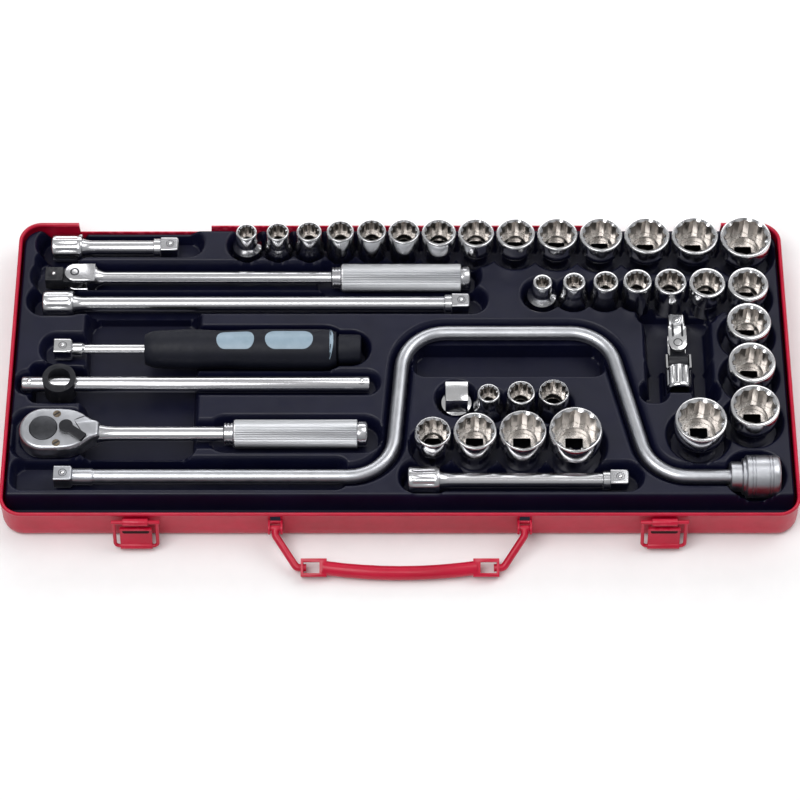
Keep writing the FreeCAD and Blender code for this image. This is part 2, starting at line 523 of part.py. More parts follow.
def make_ratchet():
    """A forged ratchet handle, its drive that turns in the head and the reversing lever on top."""
    left, across, height = dim.ratchet_left, dim.ratchet_across, dim.ratchet_axis_height
    head = left + dim.ratchet_head_dia / 2
    neck = head + dim.ratchet_neck_offset
    bottom = dim.ratchet_head_bottom
    top = bottom + dim.ratchet_head_thick
    end = left + dim.ratchet_length
    forged = padded("ratchet_head", ratchet_outline(head, across, neck), bottom, "dim.ratchet_head_thick")
    root = neck - dim.ratchet_root
    shank = f"{end - root} - dim.grip_collar_length - dim.grip_length - dim.grip_end_length"
    handle = turned("ratchet_handle", (root, across, height), X_AXIS, [
        (shank, "dim.ratchet_shank_dia", "dim.ratchet_shank_dia"),
        ("dim.grip_collar_length", "dim.grip_collar_dia", "dim.grip_collar_dia"),
        ("dim.grip_length", "dim.grip_dia", "dim.grip_dia"),
        ("dim.grip_end_length", "dim.grip_end_dia", "dim.grip_end_dia")])
    pivot = head + dim.ratchet_lever_offset
    holes = fuse("ratchet_holes", [
        cylinder("ratchet_bore", (head, across, bottom - 1), UPRIGHT, "dim.ratchet_disc_dia + dim.fit",
                 "dim.ratchet_head_thick + 2"),
        cylinder("ratchet_stem_hole", (pivot, across, top - dim.ratchet_stem_length), UPRIGHT,
                 "dim.ratchet_stem_dia + dim.fit", "dim.ratchet_stem_length + 1")])
    node("ratchet_body", cut("ratchet_body", fuse("ratchet_solid", [forged] + handle), holes))

    node("ratchet_drive", fuse("ratchet_drive", [
        cylinder("ratchet_disc", (head, across, bottom), UPRIGHT, "dim.ratchet_disc_dia",
                 "dim.ratchet_head_thick + dim.ratchet_disc_rise"),
        block("ratchet_tang", (head - dim.drive / 2, across - dim.drive / 2, bottom - dim.tang_length),
              "dim.drive", "dim.drive", "dim.tang_length")]))

    lever_floor = top + dim.recess_seat
    stem = cylinder("lever_stem", (pivot, across, top - dim.ratchet_stem_length + 0.5), UPRIGHT,
                    "dim.ratchet_stem_dia", "dim.ratchet_stem_length + dim.recess_seat")
    hub = cylinder("lever_hub", (pivot, across, lever_floor), UPRIGHT, "dim.ratchet_lever_dia",
                   "dim.ratchet_lever_thick")
    arm = block("lever_arm", (0, 0, 0), "dim.ratchet_lever_length", "dim.ratchet_lever_dia - 3",
                "dim.ratchet_lever_thick")
    rest = Rotation(Vector(0, 0, 1), -dim.ratchet_lever_rest)
    half_arm = Vector(0, -(dim.ratchet_lever_dia - 3) / 2, 0)
    arm.Placement = Placement(Vector(pivot, across, lever_floor) + rest.multVec(half_arm), rest)
    node("ratchet_lever", fuse("ratchet_lever", [stem, hub, arm]))

    clear = dim.ratchet_head_dia / 2 + dim.recess_side
    recesses.box("ratchet_head", left - dim.ratchet_well_end, neck, across - clear, across + clear,
                 bottom - dim.recess_seat)
    recesses.well("ratchet_tang", head, across, dim.drive * math.sqrt(2), dim.deep_floor)
    recesses.cradle("ratchet_shank", neck, end, across, dim.grip_collar_dia, height)
    recesses.cradle("ratchet_grip", end - dim.grip_end_length - dim.grip_length - dim.grip_collar_length, end,
                    across, dim.grip_dia, height)


# ---------------------------------------------------------------- speed brace

def rounded_route(points, radius):
    """Straight runs through the points, joined by tangent arcs of one radius."""
    edges = []
    start = points[0]
    for before, corner, after in zip(points, points[1:], points[2:]):
        incoming = (corner - before).normalize()
        outgoing = (after - corner).normalize()
        turn = incoming.getAngle(outgoing)
        reach = radius * math.tan(turn / 2)
        arc_start = corner - incoming * reach
        arc_end = corner + outgoing * reach
        inward = (outgoing - incoming).normalize()
        middle = corner + inward * (radius / math.cos(turn / 2) - radius)
        edges += [Part.LineSegment(start, arc_start), Part.Arc(arc_start, middle, arc_end)]
        start = arc_end
    edges.append(Part.LineSegment(start, points[-1]))
    return edges


def bent_rod(name, points, bend, dia, level=0):
    """A round rod swept along straight runs and tangent bends at one level; returns it and its route."""
    route = doc.addObject("Sketcher::SketchObject", name + "_route")
    route.addGeometry(rounded_route(points, bend), False)
    route.Placement = Placement(Vector(0, 0, level), UPRIGHT)
    ring = doc.addObject("Part::Circle", name + "_section")
    ring.setExpression("Radius", f"({dia}) / 2")
    first_run = Rotation(Vector(0, 0, 1), points[1] - points[0])
    ring.Placement = Placement(points[0] + Vector(0, 0, level), first_run)
    doc.recompute()
    rod = doc.addObject("Part::Sweep", name)
    rod.Sections = [ring]
    rod.Spine = (route, [f"Edge{index}" for index in range(1, len(route.Shape.Edges) + 1)])
    rod.Solid = True
    return rod, route


def make_brace():
    """A bent crank with a square tang at its left end and a knob that spins on its right end."""
    height = dim.brace_height
    tang_end = dim.brace_left + dim.tang_length
    rod_start = tang_end + dim.brace_neck_length
    rod_end = dim.brace_knob_left + dim.knob_length - dim.knob_wall
    points = [Vector(rod_start, dim.brace_front, 0), Vector(dim.brace_leg_front, dim.brace_front, 0),
              Vector(dim.brace_leg_back, dim.brace_back, 0), Vector(dim.brace_far_back, dim.brace_back, 0),
              Vector(dim.brace_far_front, dim.brace_front, 0), Vector(rod_end, dim.brace_front, 0)]
    rod, route = bent_rod("brace_rod", points, dim.brace_bend, "dim.brace_dia", height)
    neck = cylinder("brace_neck", (tang_end, dim.brace_front, height), X_AXIS, "dim.brace_neck_dia",
                    "dim.brace_neck_length")
    tang = centred_block("brace_tang", (dim.brace_left + dim.tang_length / 2, dim.brace_front, height),
                         "dim.tang_length", "dim.drive", "dim.drive")
    node("brace_crank", fuse("brace_crank", [rod, neck, tang]))

    knob_left = dim.brace_knob_left
    barrel = "dim.knob_length - dim.knob_collar_length - dim.knob_step_length - dim.knob_chamfer"
    knob = fuse("knob_solid", turned("knob", (knob_left, dim.brace_front, height), X_AXIS, [
        ("dim.knob_collar_length", "dim.knob_collar_dia", "dim.knob_collar_dia"),
        ("dim.knob_step_length", "dim.knob_step_dia", "dim.knob_step_dia"),
        (barrel, "dim.knob_dia", "dim.knob_dia"),
        ("dim.knob_chamfer", "dim.knob_dia", "dim.knob_dia - 2 * dim.knob_chamfer")]))
    bore = cylinder("knob_bore", (knob_left - 1, dim.brace_front, height), X_AXIS,
                    "dim.brace_dia + dim.fit", "dim.knob_length - dim.knob_wall + 1 + dim.recess_seat")
    node("brace_knob", cut("brace_knob", knob, bore))

    side = dim.drive / math.sqrt(2) + dim.recess_side
    recesses.box("brace_run", dim.brace_left - dim.brace_well_end, dim.brace_leg_front - dim.brace_bend,
                 dim.brace_front - side, dim.brace_front + side, height - side)
    recesses.channel("brace_groove", route, dim.brace_dia, height)
    recesses.cradle("knob", dim.brace_knob_left, dim.brace_knob_left + dim.knob_length, dim.brace_front,
                    dim.knob_dia, height)


# ---------------------------------------------------------------- universal joint and adaptor

def make_universal_joint():
    """Two forks on crossed pins: a square hole at the front end and a square tang at the back end."""
    along, height, pin = dim.joint_along, dim.joint_height, dim.joint_pin_across
    crotch = pin - dim.joint_crotch
    front = crotch - dim.joint_female_length
    barrel = cylinder("joint_barrel", (along, front, height), Y_AXIS, "dim.joint_dia",
                      "dim.joint_female_length")
    cheeks = cylinder("joint_cheeks", (along, front, height), Y_AXIS, "dim.joint_dia",
                      "dim.joint_female_length + dim.joint_crotch + dim.joint_block_dia / 2"
                      " - dim.joint_cheek_round")
    gap = block("joint_gap", (along - dim.joint_cheek_gap / 2, crotch, height - dim.joint_dia),
                "dim.joint_cheek_gap", "3 * dim.joint_crotch", "2 * dim.joint_dia")
    above = height + dim.joint_cheek_half
    below = height - dim.joint_cheek_half - dim.joint_dia
    slim = fuse("joint_slim", [
        block(f"joint_slim_{side}", (along - dim.joint_dia, crotch, level),
              "2 * dim.joint_dia", "3 * dim.joint_crotch", "dim.joint_dia")
        for side, level in (("above", above), ("below", below))])
    hole = centred_block("joint_hole", (along, front, height), "dim.drive_hole", "2 * dim.drive_depth",
                         "dim.drive_hole")
    cross_pin = cylinder("joint_cross_pin", (along - dim.joint_dia / 2 + dim.joint_pin_inset, pin, height),
                         X_AXIS, "dim.joint_pin_dia", "dim.joint_dia - 2 * dim.joint_pin_inset")
    arms = cut("joint_arms", cut("joint_arms_wide", cheeks, gap), slim)
    node("universal_fork", fuse("universal_fork", [cut("joint_female", fuse("joint_fork_solid", [barrel, arms]),
                                                       hole), cross_pin]))

    far_pin = pin + dim.joint_pin_spacing
    block_solid = fuse("joint_block_solid", [
        cylinder("joint_block_round", (along - dim.joint_block_width / 2, pin, height), X_AXIS,
                 "dim.joint_block_dia", "dim.joint_block_width"),
        centred_block("joint_block_web", (along, pin + dim.joint_pin_spacing / 2, height),
                      "dim.joint_block_dia", "dim.joint_pin_spacing", "dim.joint_web"),
        cylinder("joint_block_eye", (along, far_pin, height - dim.joint_web / 2), UPRIGHT,
                 "dim.joint_block_dia", "dim.joint_web")])
    block_holes = fuse("joint_block_holes", [
        cylinder("joint_block_bore", (along - dim.joint_dia, pin, height), X_AXIS,
                 "dim.joint_pin_dia + dim.fit", "2 * dim.joint_dia"),
        cylinder("joint_block_far_bore", (along, far_pin, height - dim.joint_dia), UPRIGHT,
                 "dim.joint_pin_dia + dim.fit", "2 * dim.joint_dia")])
    node("universal_block", cut("universal_block", block_solid, block_holes))

    yoke_end = far_pin + dim.joint_yoke_length
    yoke_bottom = height - dim.joint_yoke_height / 2
    yoke = fuse("joint_yoke_solid", [
        cylinder("joint_yoke_round", (along, far_pin, yoke_bottom), UPRIGHT, "dim.joint_yoke_width",
                 "dim.joint_yoke_height"),
        block("joint_yoke_block", (along - dim.joint_yoke_width / 2, far_pin, yoke_bottom),
              "dim.joint_yoke_width", "dim.joint_yoke_length", "dim.joint_yoke_height")])
    yoke_gap = block("joint_yoke_slot", (along - dim.joint_dia, far_pin - dim.joint_dia,
                                         height - dim.joint_yoke_gap / 2),
                     "2 * dim.joint_dia", "dim.joint_dia + dim.joint_block_dia / 2 + dim.joint_yoke_clear",
                     "dim.joint_yoke_gap")
    tang = centred_block("joint_tang", (along, yoke_end + dim.drive / 2, height), "dim.drive", "dim.drive",
                         "dim.drive")
    yoke_pin = cylinder("joint_yoke_pin", (along, far_pin, yoke_bottom), UPRIGHT, "dim.joint_pin_dia",
                        "dim.joint_yoke_height")
    node("universal_tang", fuse("universal_tang", [cut("joint_yoke", yoke, yoke_gap), tang, yoke_pin]))

    side = dim.joint_dia / 2 + dim.recess_side
    recesses.box("joint_cradle", along - side, along + side, front - dim.recess_side, pin,
                 height - dim.joint_dia / 2 - dim.recess_seat)


def make_adaptor():
    """A stubby adaptor that stands on its square hole with the larger square tang on top."""
    place = (dim.adaptor_along, dim.adaptor_across, dim.adaptor_floor + dim.recess_seat)
    body = cylinder("adaptor_body", place, UPRIGHT, "dim.adaptor_dia", "dim.adaptor_body")
    tang = block("adaptor_tang", (place[0] - dim.adaptor_drive / 2, place[1] - dim.adaptor_drive / 2,
                                  place[2] + dim.adaptor_body),
                 "dim.adaptor_drive", "dim.adaptor_drive", "dim.adaptor_tang")
    hole = centred_block("adaptor_hole", place, "dim.drive_hole", "dim.drive_hole", "2 * dim.drive")
    node("drive_adaptor", cut("drive_adaptor", fuse("adaptor_solid", [body, tang]), hole))
    recesses.well("adaptor_well", place[0], place[1], dim.adaptor_dia, dim.adaptor_floor)


# ---------------------------------------------------------------- sockets

def socket_footprint(outside):
    """The widest diameter of a socket: its wrench end, or its drive end on the small sizes."""
    return max(outside, dim.socket_base_dia)


def make_socket(name, flats, outside, along, across):
    """A twelve-point socket that stands on its square drive end."""
    floor = dim.socket_floor + dim.recess_seat
    height = f"dim.socket_height + dim.socket_growth * ({outside} - 11)"
    base_dia = f"max(dim.socket_base_dia; dim.socket_base_share * {outside})"
    skirt = f"({height}) * dim.socket_skirt_share"
    taper = f"({height}) * dim.socket_taper_share"
    base = f"({height}) - ({skirt}) - ({taper})"
    body = fuse(name + "_solid", turned(name + "_part", (along, across, floor), UPRIGHT, [
        (base, base_dia, base_dia), (taper, base_dia, str(outside)), (skirt, str(outside), str(outside))]))
    top = floor + number(height)
    depth = f"({height}) - dim.socket_drive_depth - dim.socket_ledge"
    corner_radius = f"{flats} / 2 / cos(30)"
    prisms = []
    for turn in (0, 30):
        prism = solid("Part::Prism", f"{name}_hex_{turn}", (along, across, top - number(depth)),
                      Rotation(Vector(0, 0, 1), turn), Circumradius=corner_radius, Height=f"({depth}) + 1")
        prism.Polygon = 6
        prisms.append(prism)
    relief = cylinder(name + "_bore", (along, across, floor + dim.socket_drive_depth - 0.5), UPRIGHT,
                      f"{flats} * dim.socket_bore_share", f"({height}) - dim.socket_drive_depth")
    drive = centred_block(name + "_drive", (along, across, floor), "dim.drive_hole", "dim.drive_hole",
                          "2 * dim.socket_drive_depth")
    node(name, cut(name, body, fuse(name + "_holes", prisms + [relief, drive])))
    recesses.well(name + "_well", along, across, socket_footprint(outside), dim.socket_floor)


def make_row(names, sizes, left, gap, across_of):
    """Sockets side by side along X, with one gap between neighbours."""
    along = left
    previous = None
    for name, (flats, outside) in zip(names, sizes):
        footprint = socket_footprint(outside)
        if previous is not None:
            along += (previous + footprint) / 2 + gap
        make_socket(name, flats, outside, along, across_of(footprint))
        previous = footprint
    return along


def make_sockets():
    gap = dim.socket_gap
    make_row([f"socket_metric_{flats:02d}" for flats, _ in METRIC], METRIC, dim.back_row_left, gap,
             lambda footprint: dim.back_row_edge - footprint / 2)
    inch_names = [f"socket_inch_{name}" for name in INCH_NAMES]
    row_end = 7
    make_row(inch_names[:row_end], INCH[:row_end], dim.second_row_left, gap,
             lambda footprint: dim.second_row_edge - footprint / 2)
    across = dim.second_row_edge - socket_footprint(INCH[row_end - 1][1]) / 2
    previous = socket_footprint(INCH[row_end - 1][1])
    for name, (flats, outside) in zip(inch_names[row_end:-1], INCH[row_end:-1]):
        across -= (previous + outside) / 2 + dim.column_gap
        make_socket(name, flats, outside, dim.column_along, across)
        previous = outside
    make_socket(inch_names[-1], *INCH[-1], dim.lone_socket_along, dim.lone_socket_across)
    whitworth_names = [f"socket_whitworth_{name}" for name in WHITWORTH_NAMES]
    make_row(whitworth_names[:3], WHITWORTH[:3], dim.middle_row_left, gap,
             lambda footprint: dim.middle_row_across)
    make_row(whitworth_names[3:], WHITWORTH[3:], dim.front_row_left, gap,
             lambda footprint: dim.front_row_across)


# ---------------------------------------------------------------- carry handle

def hang(piece, hinge, angle):
    """Turns a piece built level about a hinge along X, so that its outer side drops by an angle."""
    turn = Rotation(Vector(1, 0, 0), angle)
    piece.Placement = Placement(Vector(*hinge), turn)
    return piece


def handle_hinge():
    return (0, -dim.case_depth / 2 - dim.handle_hinge_out, dim.handle_hinge_height)


def make_handle():
    """A drooping bail: two bent rods hinged on wall brackets, and the bowed grip between them."""
    arms = []
    for side in (-1, 1):
        reach, inner, end = side * dim.handle_reach, side * dim.handle_inner, side * dim.handle_end
        half_pin = dim.bracket_gap / 2 + dim.bracket_ear
        pin = cylinder(f"handle_pin_{side + 1}", (reach - half_pin, 0, 0), X_AXIS, "dim.handle_pin_dia",
                       "dim.bracket_gap + 2 * dim.bracket_ear")
        points = [Vector(reach, 0, 0), Vector(reach, -dim.handle_root, 0), Vector(inner, -dim.handle_drop, 0),
                  Vector(end, -dim.handle_drop, 0)]
        rod, _ = bent_rod(f"arm_rod_{side + 1}", points, dim.handle_bend, "dim.handle_rod_dia")
        arms.append(fuse(f"handle_arm_{side + 1}", [pin, rod]))
    node("handle_arms", hang(group("handle_arms", arms), handle_hinge(), dim.handle_droop))

    half = dim.grip_tube_length / 2
    bow_radius = (half ** 2 + dim.grip_bow ** 2) / (2 * dim.grip_bow)
    sweep = 2 * math.degrees(math.asin(half / bow_radius))
    tube = solid("Part::Torus", "grip_tube",
                 (0, -dim.handle_drop - dim.grip_bow + bow_radius, 0),
                 Rotation(Vector(0, 0, 1), -90 - sweep / 2),
                 Radius1=bow_radius, Radius2="dim.grip_tube_dia / 2", Angle3=sweep)
    frames = []
    for side in (-1, 1):
        middle = side * (half + dim.grip_total / 2) / 2
        frame_length = "(dim.grip_total - dim.grip_tube_length) / 2 + dim.grip_stop"
        frame = centred_block(f"grip_frame_{side + 1}", (middle, -dim.handle_drop, 0), frame_length,
                              "dim.grip_frame_width", "dim.grip_frame_height")
        window = centred_block(f"grip_window_{side + 1}", (middle, -dim.handle_drop, 0),
                               f"{frame_length} - 2 * dim.grip_block",
                               "dim.grip_frame_width - 2 * dim.grip_rail", "2 * dim.grip_frame_height")
        eye_length = 2 * number(frame_length)
        eye = cylinder(f"grip_eye_{side + 1}", (middle - eye_length / 2, -dim.handle_drop, 0), X_AXIS,
                       "dim.handle_rod_dia + 4 * dim.fit", eye_length)
        inner_stop = centred_block(f"grip_stop_{side + 1}", (side * half, -dim.handle_drop, 0),
                                   "dim.grip_stop", "dim.grip_frame_width", "dim.grip_frame_height")
        ring = cut(f"grip_ring_{side + 1}", cut(f"grip_open_{side + 1}", frame, window), eye)
        frames += [ring, inner_stop]
    node("handle_grip", hang(fuse("handle_grip", [tube] + frames), handle_hinge(), dim.handle_droop))


def make_handle_brackets():
    """A folded clip on the wall at each end: a back plate with two ears that carry the rod's pin."""
    brackets = []
    _, hinge_across, hinge_height = handle_hinge()
    wall = -dim.case_depth / 2
    for side in (-1, 1):
        reach = side * dim.handle_reach
        outer_width = "dim.bracket_gap + 2 * dim.bracket_ear"
        plate = block(f"bracket_plate_{side + 1}",
                      (reach - number(outer_width) / 2, wall - dim.bracket_plate,
                       hinge_height - dim.bracket_height / 2 - dim.bracket_drop),
                      outer_width, "dim.bracket_plate", "dim.bracket_height")
        ears = []
        for ear in (-1, 1):
            low = reach + ear * (dim.bracket_gap + dim.bracket_ear) / 2 - dim.bracket_ear / 2
            ears.append(cylinder(f"bracket_ear_{side + 1}_{ear + 1}", (low, hinge_across, hinge_height), X_AXIS,
                                 "2 * dim.handle_hinge_out", "dim.bracket_ear"))
            ears.append(block(f"bracket_web_{side + 1}_{ear + 1}",
                              (low, hinge_across, hinge_height - dim.handle_hinge_out),
                              "dim.bracket_ear", "dim.handle_hinge_out", "2 * dim.handle_hinge_out"))
        hole = cylinder(f"bracket_hole_{side + 1}",
                        (reach - dim.bracket_height / 2, hinge_across, hinge_height), X_AXIS,
                        "dim.handle_pin_dia + dim.fit", "dim.bracket_height")
        brackets.append(cut(f"handle_bracket_{side + 1}", fuse(f"bracket_solid_{side + 1}", [plate] + ears),
                            hole))
    node("handle_brackets", group("handle_brackets", brackets))


# ---------------------------------------------------------------- latches

def latch_hinge(side):
    return (side * dim.latch_offset, -dim.case_depth / 2 - dim.latch_hinge_out, dim.latch_hinge_height)


def make_latch(side, word):
    """A wire hoop that hangs from a knuckle on the wall, and the lever that turns on its lower bar."""
    hinge = latch_hinge(side)
    droop = 90 - dim.latch_lean
    half_span = dim.latch_span / 2
    points = [Vector(-half_span, 0, 0), Vector(-half_span, -dim.latch_length, 0),
              Vector(half_span, -dim.latch_length, 0), Vector(half_span, 0, 0)]
    legs, _ = bent_rod(f"hoop_legs_{word}", points, dim.latch_bend, "dim.latch_wire")
    bar = cylinder(f"hoop_bar_{word}", (-half_span - dim.latch_stub, 0, 0), X_AXIS, "dim.latch_bar",
                   "dim.latch_span + 2 * dim.latch_stub")
    node(f"latch_hoop_{word}", hang(fuse(f"latch_hoop_{word}", [legs, bar]), hinge, droop))

    width = dim.latch_lever_width
    plate = block(f"lever_plate_{word}", (-width / 2, -dim.latch_length, -dim.latch_lever_thick / 2),
                  "dim.latch_lever_width", "dim.latch_length - dim.latch_lever_gap", "dim.latch_lever_thick")
    knuckle = cylinder(f"lever_knuckle_{word}", (-width / 2, -dim.latch_length, 0), X_AXIS,
                       "dim.latch_lever_knuckle", "dim.latch_lever_width")
    lip = block(f"lever_lip_{word}", (-width / 2, -dim.latch_lever_gap - dim.latch_lever_thick, 0),
                "dim.latch_lever_width", "dim.latch_lever_thick", "dim.latch_lip_height")
    bore = cylinder(f"lever_bore_{word}", (-width, -dim.latch_length, 0), X_AXIS, "dim.latch_wire + dim.fit",
                    "2 * dim.latch_lever_width")
    lever = cut(f"latch_lever_{word}", fuse(f"lever_solid_{word}", [plate, knuckle, lip]), bore)
    node(f"latch_lever_{word}", hang(lever, hinge, droop))


def make_latch_brackets():
    """A plate on the wall with the rolled knuckle that the hoop's upper bar turns in."""
    brackets = []
    wall = -dim.case_depth / 2
    for side in (-1, 1):
        along, across, height = latch_hinge(side)
        half = dim.latch_knuckle_length / 2
        knuckle = cylinder(f"latch_knuckle_{side + 1}", (along - half, across, height), X_AXIS,
                           "dim.latch_knuckle", "dim.latch_knuckle_length")
        plate = block(f"latch_plate_{side + 1}", (along - half, wall - dim.latch_plate_thick,
                                                  height - dim.latch_plate_height),
                      "dim.latch_knuckle_length", "dim.latch_plate_thick", "dim.latch_plate_height")
        web = block(f"latch_web_{side + 1}", (along - half, across, height - dim.latch_knuckle / 2),
                    "dim.latch_knuckle_length", "dim.latch_hinge_out", "dim.latch_web_thick")
        bore = cylinder(f"latch_bore_{side + 1}", (along - 2 * half, across, height), X_AXIS,
                        "dim.latch_bar + dim.fit", "2 * dim.latch_knuckle_length")
        brackets.append(cut(f"latch_bracket_{side + 1}", fuse(f"latch_mount_{side + 1}", [knuckle, plate, web]),
                            bore))
    node("latch_brackets", group("latch_brackets", brackets))


# ---------------------------------------------------------------- build

make_case()
make_extension("extension_bar_short", dim.short_bar_left, dim.short_bar_across, "dim.short_bar_length")
make_extension("extension_bar_medium", dim.medium_bar_left, dim.medium_bar_across, "dim.medium_bar_length")
make_extension("extension_bar_long", dim.long_bar_left, dim.long_bar_across, "dim.long_bar_length")
make_flex_handle()
make_spinner()
make_sliding_bar()
make_ratchet()
make_brace()
make_universal_joint()
make_adaptor()
make_sockets()
make_handle()
make_handle_brackets()
make_latch(-1, "left")
make_latch(1, "right")
make_latch_brackets()
add_finger_troughs()
make_tray()
doc.recompute()

failed = [item.Name for item in doc.Objects if "Invalid" in item.State or "Error" in item.State]
if failed:
    raise RuntimeError(f"objects failed to compute: {failed}")
for name, piece in nodes.items():
    if piece.Shape.isNull() or not piece.Shape.isValid():
        raise RuntimeError(f"{name} has no valid shape")
    piece.Shape.exportStep(f"parts/{name}.step")
print(len(nodes), "nodes written")
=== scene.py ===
import json
import math

import bmesh
import bpy
import numpy as np
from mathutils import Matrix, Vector


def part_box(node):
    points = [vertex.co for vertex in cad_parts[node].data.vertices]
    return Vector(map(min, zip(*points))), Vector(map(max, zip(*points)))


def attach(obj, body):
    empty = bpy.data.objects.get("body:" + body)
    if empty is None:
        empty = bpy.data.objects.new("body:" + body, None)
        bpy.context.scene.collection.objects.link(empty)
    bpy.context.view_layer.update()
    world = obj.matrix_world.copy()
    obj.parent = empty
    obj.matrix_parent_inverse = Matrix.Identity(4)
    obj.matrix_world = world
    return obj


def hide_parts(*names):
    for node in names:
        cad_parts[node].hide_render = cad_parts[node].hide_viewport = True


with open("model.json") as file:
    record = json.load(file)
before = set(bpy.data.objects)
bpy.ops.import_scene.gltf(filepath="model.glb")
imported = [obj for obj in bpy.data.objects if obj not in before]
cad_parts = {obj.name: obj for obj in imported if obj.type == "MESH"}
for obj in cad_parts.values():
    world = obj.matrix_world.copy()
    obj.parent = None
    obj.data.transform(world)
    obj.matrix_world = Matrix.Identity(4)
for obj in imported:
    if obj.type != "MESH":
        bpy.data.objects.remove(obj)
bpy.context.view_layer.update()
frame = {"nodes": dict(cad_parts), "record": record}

# The looks of the socket wrench set. Sizes are in millimetres until a mesh is made.
MM = 0.001
X, Y, Z = (1, 0, 0), (0, 1, 0), (0, 0, 1)


def span(name):
    """A node's lowest and highest corners at rest, in millimetres."""
    low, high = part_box(name)
    return np.array(low) / MM, np.array(high) / MM


# ---------------------------------------------------------------- materials

def shade(name, colour, tint, rough, metallic=0.0, patches=60, grain=900, bump=0.05, stretch=(1, 1, 1),
          coat=0.0, coat_rough=0.1, specular=0.5, edge_wear_and_highlight=None):
    """A finish whose colour, gloss and fine relief all vary with noise; edge_wear_and_highlight is a colour
    for sharp edges, laid in noise patches: rubbed wear on the enamel and the oxide, a painted highlight along
    the tray's lips.
    """
    finish = bpy.data.materials.new(name)
    finish.use_nodes = True
    tree = finish.node_tree
    nodes, links = tree.nodes, tree.links
    shader = nodes["Principled BSDF"]
    place = nodes.new("ShaderNodeTexCoord")
    scale = nodes.new("ShaderNodeMapping")
    scale.inputs["Scale"].default_value = stretch
    links.new(place.outputs["Object"], scale.inputs["Vector"])

    def noise(size, detail, roughness=0.6):
        texture = nodes.new("ShaderNodeTexNoise")
        texture.inputs["Scale"].default_value = size
        texture.inputs["Detail"].default_value = detail
        texture.inputs["Roughness"].default_value = roughness
        links.new(scale.outputs["Vector"], texture.inputs["Vector"])
        return texture.outputs["Fac"]

    def ramp(source, low, high, first, last):
        spread = nodes.new("ShaderNodeMapRange")
        for socket, value in zip(("From Min", "From Max", "To Min", "To Max"), (low, high, first, last)):
            spread.inputs[socket].default_value = value
        links.new(source, spread.inputs["Value"])
        return spread.outputs["Result"]

    def mix(factor, first, last):
        blend = nodes.new("ShaderNodeMix")
        blend.data_type = "RGBA"
        links.new(factor, blend.inputs["Factor"])
        for socket, value in (("A", first), ("B", last)):
            target = next(item for item in blend.inputs if item.name == socket and item.type == "RGBA")
            if isinstance(value, tuple):
                target.default_value = (*value, 1)
            else:
                links.new(value, target)
        return next(item for item in blend.outputs if item.type == "RGBA")

    tone = mix(ramp(noise(patches, 4), 0.35, 0.65, 0, 1), colour, tint)
    # Lighter colour on sharp edges in noise patches: rubbed wear on most finishes, a painted highlight on the
    # tray's lips.
    if edge_wear_and_highlight:
        geometry = nodes.new("ShaderNodeNewGeometry")
        edge = ramp(geometry.outputs["Pointiness"], 0.54, 0.62, 0, 1)
        edge_patches = ramp(noise(260, 5), 0.48, 0.6, 0, 1)
        both = nodes.new("ShaderNodeMath")
        both.operation = "MULTIPLY"
        links.new(edge, both.inputs[0])
        links.new(edge_patches, both.inputs[1])
        tone = mix(both.outputs["Value"], tone, edge_wear_and_highlight)
    links.new(tone, shader.inputs["Base Color"])
    links.new(ramp(noise(patches * 3, 6), 0.3, 0.7, *rough), shader.inputs["Roughness"])
    relief = nodes.new("ShaderNodeBump")
    relief.inputs["Strength"].default_value = bump
    relief.inputs["Distance"].default_value = 0.0003
    links.new(noise(grain, 5), relief.inputs["Height"])
    links.new(relief.outputs["Normal"], shader.inputs["Normal"])
    shader.inputs["Metallic"].default_value = metallic
    shader.inputs["Coat Weight"].default_value = coat
    shader.inputs["Coat Roughness"].default_value = coat_rough
    shader.inputs["Specular IOR Level"].default_value = specular
    finish.diffuse_color = (*colour, 1)
    return finish


ENAMEL = shade("crimson_enamel", (0.52, 0.004, 0.034), (0.44, 0.003, 0.026), (0.30, 0.44), coat=0.15,
               coat_rough=0.2, grain=700, bump=0.06, specular=0.32, edge_wear_and_highlight=(0.66, 0.06, 0.11))
# Painted highlight: the tray's edge colour is the grey of its lit tops, laid in patches along the lips.
PLASTIC = shade("tray_plastic", (0.0018, 0.0024, 0.014), (0.0028, 0.0034, 0.019), (0.34, 0.48), grain=1800,
                bump=0.10, patches=35, specular=0.34, edge_wear_and_highlight=(0.012, 0.013, 0.022))
CHROME = shade("polished_chrome", (0.78, 0.78, 0.79), (0.70, 0.70, 0.71), (0.12, 0.20), metallic=1.0,
               patches=90, grain=1500, bump=0.015)
DRAWN = shade("drawn_chrome", (0.66, 0.66, 0.68), (0.62, 0.62, 0.64), (0.18, 0.24), metallic=1.0,
              patches=60, grain=900, bump=0.006, stretch=(0.05, 1, 1))
SATIN = shade("satin_chrome", (0.55, 0.56, 0.59), (0.47, 0.48, 0.51), (0.28, 0.40), metallic=1.0,
              patches=110, grain=2400, bump=0.12)
KNURL = shade("knurled_chrome", (0.55, 0.56, 0.58), (0.48, 0.49, 0.51), (0.34, 0.42), metallic=1.0,
              patches=160, grain=1400, bump=0.02, stretch=(0.1, 1, 1))
BROACHED = shade("broached_steel", (0.46, 0.43, 0.41), (0.30, 0.275, 0.26), (0.24, 0.40), metallic=1.0,
                 patches=300, grain=1400, bump=0.08, stretch=(1, 1, 0.08))
DARK_STEEL = shade("dark_steel", (0.08, 0.082, 0.09), (0.055, 0.057, 0.062), (0.30, 0.44), metallic=1.0,
                   patches=180, grain=2000, bump=0.12)
OXIDE = shade("black_oxide", (0.010, 0.011, 0.015), (0.018, 0.018, 0.022), (0.34, 0.48), metallic=0.2,
              patches=150, grain=1500, bump=0.10, specular=0.35, edge_wear_and_highlight=(0.06, 0.06, 0.065))
